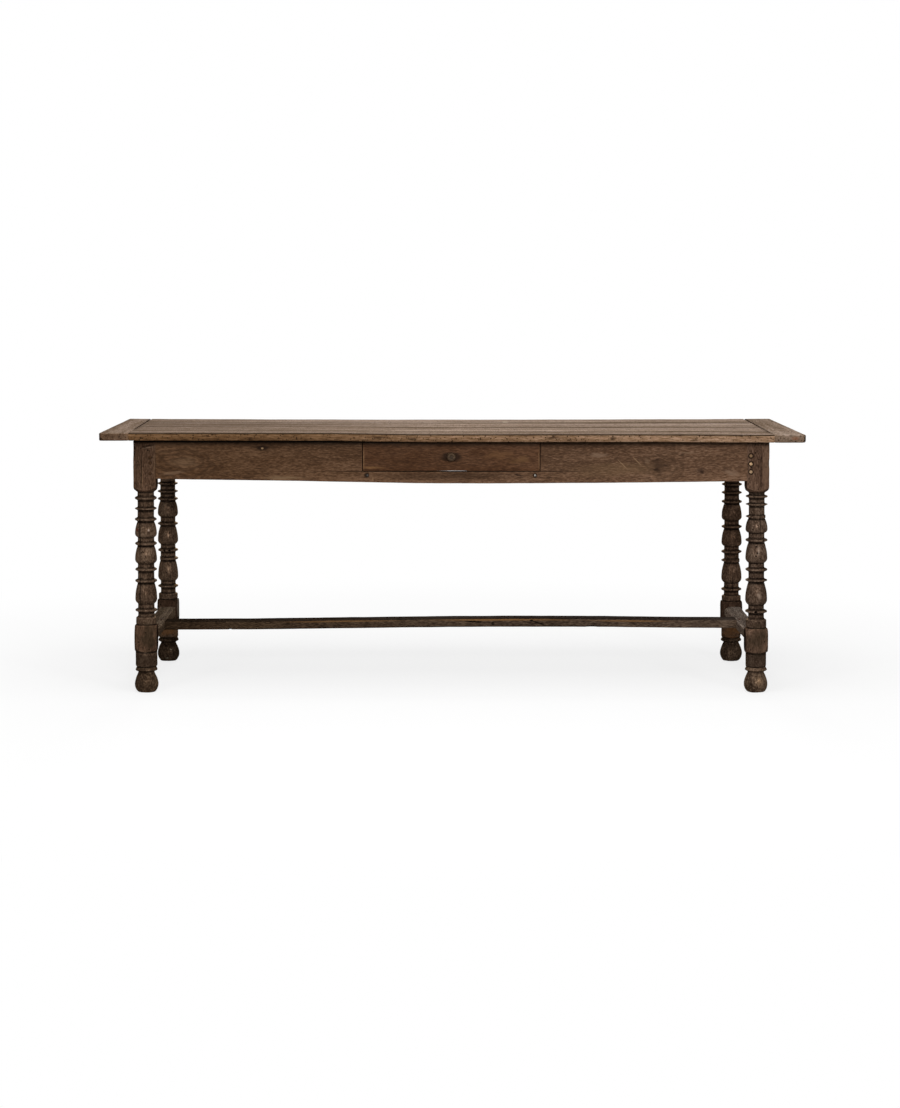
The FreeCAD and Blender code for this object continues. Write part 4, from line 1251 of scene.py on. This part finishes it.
# how light the turned part is, its share of wax, how light the squares are; the lower levels of the rear
# legs are painted shade under the table
LEG_LOOKS = {
    "front_left": (1.24, 0.10, 1.10),
    "front_right": (1.16, 0.10, 1.22),
    "rear_left": (1.02, 0.22, 0.50),
    "rear_right": ((1.04, 0.96, 0.90), 0.12, 0.68),
}
TURNED_LOOK = {"side_light": PAINTED_SIDE_LIGHT_ON_LEGS, "pits": (110, 0.14, 0.40), "layers": TURNED_LAYERS, **POLISHED}
SQUARE_LOOK = {"side_light": PAINTED_SIDE_LIGHT_ON_LEGS, "pits": (95, 0.22, 0.50), **MATT}
CRACK = (12, 8, 5)
MOSS = (40, 33, 23)
GOLD = (110, 76, 47)
# the colour of painted shade on the legs and at the ends of the long stretcher
PAINTED_SHADE = (26, 18, 12)
PALE_PEGS = 894
PALE_PEG_HEIGHTS = (664.6, 688.6, 712.6)
DARK_PEGS = -899
DARK_PEG_HEIGHTS = (659.8, 691.6, 707.8)
BLOCK_FACE = -333


def front_marks(side, square, ankle, ankle_shade):
    """What both front legs have: painted shade on the inner sides of the squares and on the ankle under the
    lower square, and moss.
    """
    return [
        (PAINTED_SHADE, 0.8, side * 882.5, -290, 690, 4, 45, 90, 0, 0.5, 0.2),
        (PAINTED_SHADE, 0.8, side * 882.5, -290, square, 5, 45, 45, 0, 0.5, 0.2),
        (MOSS, 0.7, side * 916, BLOCK_FACE, square, 50, 30, 55, 0, 0.8, 1.0),
        (PAINTED_SHADE, ankle_shade, side * 916, -320, ankle, 80, 60, 24, 0, 0.4, 0.5),
    ]


LEG_MARKS = {
    "front_left": [
        *front_marks(-1, 164, 98, 0.6),
        (CRACK, 0.85, -931, -330, 480, 2.6, 50, 110, 0, 0.6, 0.25),
        (CRACK, 0.75, -931, -330, 310, 2.6, 50, 90, 0, 0.6, 0.25),
        # painted highlight on the first baluster
        ((168, 150, 136), 0.6, -904.4, -330, 489.4, 4.8, 50, 4.8, 0, 0.9, 0.3),
        (CRACK, 0.8, -921.2, -330, 424.4, 3.6, 50, 3, 30, 0.7, 0.4),
        (CRACK, 0.8, -913.8, -330, 410.6, 3.4, 50, 5, -20, 0.7, 0.4),
        (CRACK, 0.7, -912.6, -330, 397.1, 3.4, 50, 2.6, 0, 0.7, 0.4),
        ((92, 42, 34), 0.7, -940, -325, 490, 5, 50, 6, 0, 0.6),
        *on_face(BLOCK_FACE, [
            (CRACK, 0.7, -925, 668, 2.8, 80, 1, 0.7, 0.25),
            (CRACK, 0.8, -906, 743, 26, 2.6, -10, 0.7, 0.5),
            # pale line under the crack: a painted highlight
            ((124, 104, 88), 0.55, -904, 737.5, 24, 2, -9, 0.8, 0.5),
            ((132, 104, 78), 0.6, -922.5, 645, 1.8, 38, 0, 0.8, 0.3),
            ((124, 98, 74), 0.5, -886.5, 685, 1.8, 50, 0, 0.8, 0.3),
        ]),
        *[(CRACK, 0.7, DARK_PEGS, BLOCK_FACE, height, 7, 6, 7, 0, 0.5, 0.2)
          for height in DARK_PEG_HEIGHTS],
    ],
    "front_right": [
        *front_marks(1, 157, 96, 0.55),
        ((112, 88, 70), 0.45, 938, -333, 675, 12, 30, 90, 0, 0.5, 0.3),
        (CRACK, 0.85, 924, -330, 668, 2, 50, 90, 0, 0.7, 0.25),
        # painted highlight on the second baluster
        ((146, 128, 114), 0.5, 919, -330, 428, 4.5, 50, 20, 0, 0.9, 0.4),
        (CRACK, 0.95, 912.4, -330, 440, 3.4, 50, 3.4, 0, 0.5, 0.2),
        (CRACK, 0.95, 914.3, -330, 421.1, 3.4, 50, 3.4, 0, 0.5, 0.2),
        (CRACK, 0.95, 910.8, -330, 411.5, 3.4, 50, 3.6, 0, 0.5, 0.2),
        (CRACK, 0.7, 922.5, -330, 405.8, 5, 50, 3, 0, 0.7, 0.4),
        (CRACK, 0.65, 923, -330, 514, 3, 50, 62, 0, 0.8, 0.4),
        # painted highlight on the third baluster
        ((150, 130, 114), 0.45, 921.5, -333, 292, 9, 50, 16, 0, 0.9, 0.5),
        *[(CRACK, 0.95, PALE_PEGS, BLOCK_FACE, height, 10.5, 6, 10.5, 0, 0.4, 0.2)
          for height in PALE_PEG_HEIGHTS],
    ],
    "rear_left": [
        (GOLD, 0.6, -916, 267, 100, 60, 60, 24, 0, 0.8, 1.2),
        # painted light on the inner face of the lower square
        ((122, 110, 98), 0.8, -883, 300, 176, 3, 45, 44, 0, 0.5, 0.3),
        (CRACK, 0.7, -905, 268, 276.5, 2, 50, 14, 0, 0.7, 0.4),
    ],
    "rear_right": [
        (GOLD, 0.6, 916, 267, 100, 60, 60, 24, 0, 0.8, 1.2),
        (CRACK, 0.8, 917, 268, 255, 2, 50, 55, 0, 0.7, 0.3),
    ],
}

for shift, (corner, leg) in enumerate(LEGS.items()):
    node = f"leg_{corner}"
    level, wax, square_level = LEG_LOOKS[corner]
    # the legs share the painted shadow under the top
    marks = [*LEG_MARKS[corner], *PAINTED_SHADOW_UNDER_TOP]
    leg_oak = oak(f"{node}_oak", "z", deeper(LEG_TONES, level), shift=shift, wax=wax, marks=marks,
                  **TURNED_LOOK)
    block_oak = oak(f"{node}_squares", "z", deeper(BLOCK_TONES, square_level), shift=shift, marks=marks,
                    **SQUARE_LOOK)
    turned_leg(node, leg, leg_oak, block_oak)

# %% [markdown]
# ## Feet
# Each foot is a pear-shaped bun under a thin collar, turned apart from the leg. Four could be modelled,
# but a turner makes a set to one pattern. So one outline is spun into a foot and smoothed with a
# Subdivision Surface, and the four feet are copies with their own mesh, moved under their legs. They are
# weathered where they stand, so that each gets its own dents.

# %% Feet
FOOT_OUTLINE = [
    (0, 0), (23.5, 0), (26.5, 1.5), (30.5, 7), (33.5, 13), (35.2, 20), (35.5, 26), (34.7, 33), (32.5, 41),
    (29.2, 49), (25.5, 56), (24, 60.5), (24.5, 62.5), (33, 65.5), (33.5, 68.5), (30, 74.5), (28.5, 76),
    (0, 76),
]
FOOT_WEATHER = ((0.03, 0.0022), (0.010, 0.0008))
FOOT_WEAR = (2, 240, 90)
FOOT_WAX = 0.10
FOOT_SHIFT = 7
# the rear feet are painted darker, as shade under the table
FOOT_LEVELS = {"front_left": 1.30, "front_right": 1.26, "rear_left": 0.62, "rear_right": 1.00}
LIMEWASH = (130, 120, 104)
FOOT_MARKS = {
    "front_right": [
        (CRACK, 0.75, 901, -333, 30, 1.4, 50, 28, 0, 0.7, 0.3),
        ((120, 96, 72), 0.45, 922, -333, 35, 16, 50, 20, 0, 0.9, 0.6),
    ],
    "rear_left": [
        (LIMEWASH, 0.7, -905, 266, 40, 5, 50, 2, 20, 0.7, 0.5),
        (LIMEWASH, 0.7, -918, 266, 12, 8, 50, 1.6, 0, 0.7, 0.5),
    ],
}
foot_model = turning("foot_model", FOOT_OUTLINE, (0, 0, 0), (1, 0, 0), (0, 0, 1))

for shift, (corner, level) in enumerate(FOOT_LEVELS.items()):
    foot = stand(f"foot_{corner}_worn", foot_model.data.copy())
    at_work(foot)
    bpy.ops.transform.translate(value=(*LEGS[corner].axis, 0))
    weather(foot, FOOT_WEATHER)
    places = corners_of(foot)
    places[:, 2] = np.maximum(places[:, 2], 0)
    move_corners(foot, places)
    note_wear(foot, *FOOT_WEAR)
    foot_oak = oak(f"foot_{corner}_oak", "z", deeper(FOOT_TONES, level), shift=shift + FOOT_SHIFT,
                   wax=FOOT_WAX, marks=FOOT_MARKS.get(corner, ()), **TURNED_LOOK)
    hand_over(foot, "frame", "foot_oak", foot_oak, f"foot_{corner}")
bpy.data.objects.remove(foot_model)

# %% [markdown]
# ## Stretchers
# Two short stretchers tie the legs together at the ends. Feet have rested on them for centuries, so their
# upper faces are grey and hollow and their arrises are round. Part of that grey is a painted sheen. The
# hollow could be carved with a brush.
# Here a cosine along the length lowers the upper vertices, most in the middle and not at all at the legs,
# so that the ends still fit where they enter them.

# %% Stretchers at the ends
STRETCHER_ARRIS = (0.004, 3)
SIDE_STEPS = dict.fromkeys(range(3), 0.006)
TREAD = 0.003
# grey of dust on the upper faces, and a painted sheen
DUST_AND_SHEEN = (1.45, 1.56, 1.66, 1)
SIDE_SHIFT = 11
SIDE_LEVELS = {"side_stretcher_left": (2.8, 3.1, 3.5), "side_stretcher_right": (2.4, 2.6, 2.8)}
SIDE_BITES = {"side_stretcher_right": [(888, 262, 182, 14, 30, 10, 35)]}
SIDE_MARKS = {
    # pale rubbed arris along the inner upper edge, partly a painted highlight
    "side_stretcher_left": [((178, 166, 148), 0.8, -888, 140, 179, 4, 160, 4, 0, 0.8, 0.4)],
    "side_stretcher_right": [((150, 136, 116), 0.7, 893, 245, 176, 16, 30, 10, 0, 0.7, 0.5)],
}

for shift, (node, level) in enumerate(SIDE_LEVELS.items()):
    low, high = between_legs(node, 1)
    piece = plank(node, low, high, STRETCHER_ARRIS, SIDE_STEPS, lambda edge: runs(edge, 1))
    places = corners_of(piece)
    upper = smooth(places[:, 2], (low.z + high.z) / 2, high.z)
    places[:, 2] -= TREAD * upper * np.cos(places[:, 1] / high.y * math.pi / 2)
    move_corners(piece, places)
    if node in SIDE_BITES:
        bite(piece, SIDE_BITES[node])
    side_oak = oak(f"{node}_oak", "y", deeper(STRETCHER_TONES, level), shift=shift + SIDE_SHIFT,
                   grey_and_sheen=DUST_AND_SHEEN, marks=SIDE_MARKS[node], **MATT)
    age_plank(piece, "stretcher_oak", side_oak, node)

# %% [markdown]
# ## Long stretcher
# One long stretcher ties the two short ones. It bows upwards and has lost splinters: a slot, a nail hole,
# a hollow underneath and a notch, each bitten out with a lump. A Curve modifier could bend it. A short
# table of heights along its length does so here, because the same table then puts the bites and the marks
# on the bent wood.

# %% Long stretcher
LONG_REACH = 0.892
LONG_HALF_DEPTH = 0.037
LONG_FOOT = 0.149
LONG_HEIGHT = 0.0255
LONG_PLACES = (-0.89, -0.616, -0.306, 0.0, 0.22, 0.47, 0.717, 0.89)
LONG_RISES = (-0.0008, 0.0, 0.004, 0.0076, 0.0086, 0.008, 0.005, 0.0045)
LONG_DUST = (0.85, 0.92, 1.05, 1)
LONG_STEPS = {0: 0.006, 1: 0.008, 2: 0.006}


def on_long(x, up):
    """A place on the long stretcher's front, in millimetres, so far above its lower edge."""
    return x, -LONG_HALF_DEPTH / MM, (LONG_FOOT + np.interp(x * MM, LONG_PLACES, LONG_RISES)) / MM + up


# x, height on the face, half width, depth, half height, turn
LONG_BITES = [
    (71.5, 17, 27, 6, 2.4, 2), (132, 10, 4.8, 10, 4.4), (252, 20, 6, 5, 3.5), (274, 12.5, 26, 4, 2.2, 18),
    (440, 1.5, 24, 12, 3), (-687, 1, 6, 14, 5.5), (-120, 4, 20, 5, 2.5), (-400, 5, 18, 5, 2),
]
BARE = (146, 106, 64)
PAINT_FLECK = (196, 182, 160)
# tint, strength, x, height on the face, then as any mark
LONG_MARKS = [
    (BARE, 0.65, 140, 22.5, 270, 8, 4.5, 0, 0.9, 0.5),
    (BARE, 0.4, -330, 22.5, 250, 8, 3.5, -0.7, 0.9, 0.6),
    (BARE, 0.45, 560, 20.5, 160, 8, 4, 0.7, 0.9, 0.6),
    # dark over each bite: painted shade in its hollow; the two long rows below make the lower edge darker
    (CRACK, 0.9, 71.5, 17, 29, 12, 3.2, 2, 0.5, 0.3),
    (CRACK, 0.9, 132, 10, 6.2, 12, 5.2, 0, 0.5, 0.3),
    (CRACK, 0.9, 252, 20, 7, 10, 4.2, 0, 0.5, 0.3),
    (CRACK, 0.9, 274, 12.5, 28, 10, 2.8, 18, 0.5, 0.3),
    (CRACK, 0.9, 440, 2.5, 27, 20, 4.2, 0, 0.6, 0.4),
    (CRACK, 0.9, -687, 2, 8, 20, 6, 0, 0.6, 0.4),
    (CRACK, 0.6, 150, 1.2, 450, 8, 3.2, 0, 0.8, 0.6),
    (CRACK, 0.55, -500, 1.2, 300, 8, 3.2, -0.5, 0.8, 0.6),
    (PAINT_FLECK, 0.8, 172, 26.2, 4, 6, 1.8, 0, 0.6),
    (PAINT_FLECK, 0.8, 194, 26.2, 3.4, 6, 1.8, 0, 0.6),
]
# painted shade where the long stretcher meets the side stretchers
PAINTED_SHADE_AT_ENDS = [
    (PAINTED_SHADE, 0.75, -890, 0, 160, 20, 50, 30, 0, 0.9, 0.3),
    (PAINTED_SHADE, 0.75, 890, 0, 165, 20, 50, 30, 0, 0.9, 0.3),
]
print(len(LONG_BITES), "bites and", len(LONG_MARKS), "marks on the long stretcher")

# %% Shape of the long stretcher
LONG_SHIFT = 14
low = (-LONG_REACH, -LONG_HALF_DEPTH, LONG_FOOT)
high = (LONG_REACH, LONG_HALF_DEPTH, LONG_FOOT + LONG_HEIGHT)
piece = plank("long_stretcher", low, high, STRETCHER_ARRIS, LONG_STEPS, lambda edge: runs(edge, 0))
places = corners_of(piece)
places[:, 2] += np.interp(places[:, 0], LONG_PLACES, LONG_RISES)
move_corners(piece, places)
bite(piece, [(*on_long(x, up), *rest) for x, up, *rest in LONG_BITES])
marks = [(tint, strength, *on_long(x, up), *rest) for tint, strength, x, up, *rest in LONG_MARKS]
long_oak = oak("long_stretcher_oak", "x", STRETCHER_TONES, shift=LONG_SHIFT, grey_and_sheen=LONG_DUST,
               marks=marks + PAINTED_SHADE_AT_ENDS, **MATT)
age_plank(piece, "stretcher_oak", long_oak, "long_stretcher")

# %% [markdown]
# ## Drawer
# The drawer front is a plain board of redder wood. Its ends are rubbed pale by the notch it slides in,
# fingers have left a dark halo round the knob, and a stretch of its lower edge has worn away. It could
# share the apron's finish, but it is plainly from another tree, so it has tones of its own.

# %% Drawer front
DRAWER_LIFT = 0.0008
LIFT_RISE = (-0.15, -0.09)
LIFT_FALL = (0.08, 0.02)
LIFT_HEIGHT = 0.0036
DRAWER_ARRIS = (0.0018, 2)
DRAWER_STEPS = {0: 0.008, 2: 0.008}
DRAWER_LEVEL = 0.9
DRAWER_LOOK = {"shift": 20, "gloss": 0.08, "rough": 0.5}
RUBBED = (150, 118, 86)
DRAWER_MARKS = on_face(drawer_low.y / MM, [
    ((26, 14, 8), 0.8, 0, 708.5, 38, 19, 0, 0.45, 0.35),
    (RUBBED, 0.65, -261, 705, 1.5, 48, 0, 0.7, 0.3),
    (RUBBED, 0.6, 261.5, 705, 1.3, 48, 0, 0.7, 0.3),
    ((126, 92, 58), 0.5, -235, 677, 45, 5, 0, 0.9, 0.8),
    ((122, 84, 50), 0.45, -140, 748, 18, 5, 0, 0.9, 0.8),
    ((118, 84, 56), 0.4, 140, 715, 60, 18, 0, 0.9, 0.9),
    ((120, 88, 58), 0.4, 205, 700, 45, 16, 0, 0.9, 0.9),
    ((40, 24, 14), 0.4, -150, 695, 40, 4, 0, 0.9, 0.8),
# the drawer front shares the painted shade of the gap and the painted shadow under the top
]) + [PAINTED_SHADE_IN_DRAWER_GAP, *PAINTED_SHADOW_UNDER_TOP]
drawer_piece = plank("drawer_front", drawer_low, drawer_high, DRAWER_ARRIS, DRAWER_STEPS)
places = corners_of(drawer_piece)
lifted = smooth(places[:, 0], *LIFT_RISE) * smooth(places[:, 0], *LIFT_FALL)
places[:, 2] += DRAWER_LIFT * lifted * (places[:, 2] < drawer_low.z + LIFT_HEIGHT)
move_corners(drawer_piece, places)
drawer_tones = deeper(DRAWER_TONES, DRAWER_LEVEL)
drawer_oak = oak("drawer_oak", "x", drawer_tones, marks=DRAWER_MARKS, **DRAWER_LOOK)
age_plank(drawer_piece, "drawer_oak", drawer_oak, "drawer_front", "drawer")

# %% [markdown]
# ## Knob
# The knob is turned: a collar, a thin neck and a flat swelling with a dished face. It could be put
# together from spheres and cylinders, but they would meet in hard seams. So its outline is extruded from
# one point and spun about the line that the drawer slides along.

# %% Knob
KNOB_HEIGHT = 0.7115
KNOB_OUTLINE = [
    (0, 0), (9.5, 0), (9.5, 2.5), (7.8, 4.8), (6.5, 8.5), (8.2, 11.5), (12.2, 14.5), (13.9, 17.5),
    (13.4, 20.5), (11, 24), (9, 25.2), (6.6, 24.6), (4.5, 23.2), (0, 23),
]
KNOB_MARKS = [((34, 24, 16), 0.6, 0, -358, 709.5, 6.5, 10, 5.5, 0, 0.6, 0.3)]
KNOB_WEATHER = [(0.012, 0.0006)]
KNOB_WEAR = (2, 400, 250)
KNOB_LOOK = {"gloss": 0.2, "rough": 0.42}
KNOB_TONES = tones((38, 27, 18), (54, 40, 28), (72, 56, 41), (98, 78, 58), (12, 8, 5))
knob = turning("drawer_knob_worn", KNOB_OUTLINE, (0, drawer_low.y, KNOB_HEIGHT), (1, 0, 0), (0, -1, 0))
weather(knob, KNOB_WEATHER)
note_wear(knob, *KNOB_WEAR)
knob_oak = oak("knob_oak", "y", KNOB_TONES, TURNED_LAYERS, marks=KNOB_MARKS, **KNOB_LOOK)
hand_over(knob, "drawer", "drawer_oak", knob_oak, "drawer_knob")

# %% [markdown]
# ## Iron nails
# Forged nails hold the drawer's runners. Their heads are dark, and the right one has been rubbed bright.
# Iron could be one even grey metal. Here noise mixes a dark and a bright iron, with more of the bright one
# towards the right, because two old nail heads are never alike.

# %% Iron
IRON_DARK = colour(52, 48, 45)
IRON_BRIGHT = colour(176, 172, 166)
IRON_NOISE = (420, 3)
IRON_RANGE = (0.42, 0.62)
IRON_ROUGH = (0.6, 0.35)
IRON_METAL = 0.7
RUBBED_SPAN = (-0.3, 0.2)

iron, tree, place = new_finish("iron")
spots = between(tree, noise(tree, place, *IRON_NOISE), *IRON_RANGE)
side = between(tree, put(tree, "SeparateXYZ", {0: place})["X"], *RUBBED_SPAN)
rubbed = calc(tree, "MULTIPLY", spots, side)
feed(tree, tree.nodes["Principled BSDF"], {
    "Base Color": mixed(tree, rubbed, IRON_DARK, IRON_BRIGHT), "Metallic": IRON_METAL,
    "Roughness": between(tree, rubbed, 0, 1, *IRON_ROUGH),
})
print("iron, rubbed bright towards the right")

# %% [markdown]
# ## Small and hidden pieces
# Pegs, nails, runners and the drawer's box could be modelled like the rest, but they are small or out of
# sight, so they keep the shapes of their solids. A Bevel modifier takes the razor edge off a copy of each,
# and each gets the finish it has on the table: pegs of new pale wood in one leg and old dark ones in the
# others, forged iron nails, and plain unfinished wood where nobody looks.

# %% Small pieces
FINE_ARRIS = {"width": 0.0005, "segments": 2, "limit_method": "ANGLE", "angle_limit": REAL_ANGLE}
PALE_PEG_TONES = tones((134, 104, 74), (168, 136, 100), (192, 162, 128), (198, 170, 136), (60, 42, 28))
DARK_PEG_TONES = tones((48, 32, 20), (70, 47, 30), (92, 66, 46), (100, 76, 54), (14, 9, 6))
PEG_GLOSS = 0.1
PEG_DIRT = (92, 68, 48)
PALE_PEG_MARKS = [
    (PEG_DIRT, 0.65, PALE_PEGS, BLOCK_FACE, PALE_PEG_HEIGHTS[2], 8, 20, 8),
    (PEG_DIRT, 0.50, PALE_PEGS, BLOCK_FACE, PALE_PEG_HEIGHTS[0], 8, 20, 8),
]
TOP_PEG_LEVEL = 0.7
RAIL_LEVEL = 1.2
LINING_SHIFT = 23
ACROSS_SHIFT = 25
RAIL_SHIFT = 27
pale_peg = oak("pale_peg", "y", PALE_PEG_TONES, TURNED_LAYERS, gloss=PEG_GLOSS, marks=PALE_PEG_MARKS)
dark_peg = oak("dark_peg", "y", DARK_PEG_TONES, TURNED_LAYERS, gloss=PEG_GLOSS)
top_peg = oak("top_peg", "z", deeper(TOP_TONES, TOP_PEG_LEVEL), TURNED_LAYERS, grey_and_sheen=TOP_GREY_AND_SHEEN)
lining = oak("lining", "y", LINING_TONES, shift=LINING_SHIFT, **UNFINISHED)
lining_across = oak("lining_across", "x", LINING_TONES, shift=ACROSS_SHIFT, **UNFINISHED)
rail_oak = oak("rail_oak", "y", deeper(APRON_TONES, RAIL_LEVEL), shift=RAIL_SHIFT, **UNFINISHED)
# body, slot, finish, nodes
SMALL_PIECES = [
    ("frame", "dark_peg", top_peg, "breadboard_pegs"),
    ("frame", "dark_peg", dark_peg, "top_dowels apron_pegs_dark stretcher_pegs"),
    ("frame", "pale_peg", pale_peg, "apron_pegs_pale"),
    ("frame", "iron", iron, "runner_nails"),
    ("frame", "drawer_lining", rail_oak, "drawer_runner_left drawer_runner_right drawer_stops"),
    ("frame", "drawer_lining", rail_oak, "drawer_guide_left drawer_guide_right"),
    ("drawer", "drawer_lining", lining, "drawer_side_left drawer_side_right"),
    ("drawer", "drawer_lining", lining_across, "drawer_back drawer_bottom"),
]

for body, slot, finish, nodes in SMALL_PIECES:
    for node in nodes.split():
        piece = cad_copy(node)
        change(piece, "BEVEL", **FINE_ARRIS)
        if node == "breadboard_pegs":
            warp(piece)
        hand_over(piece, body, slot, finish, node)
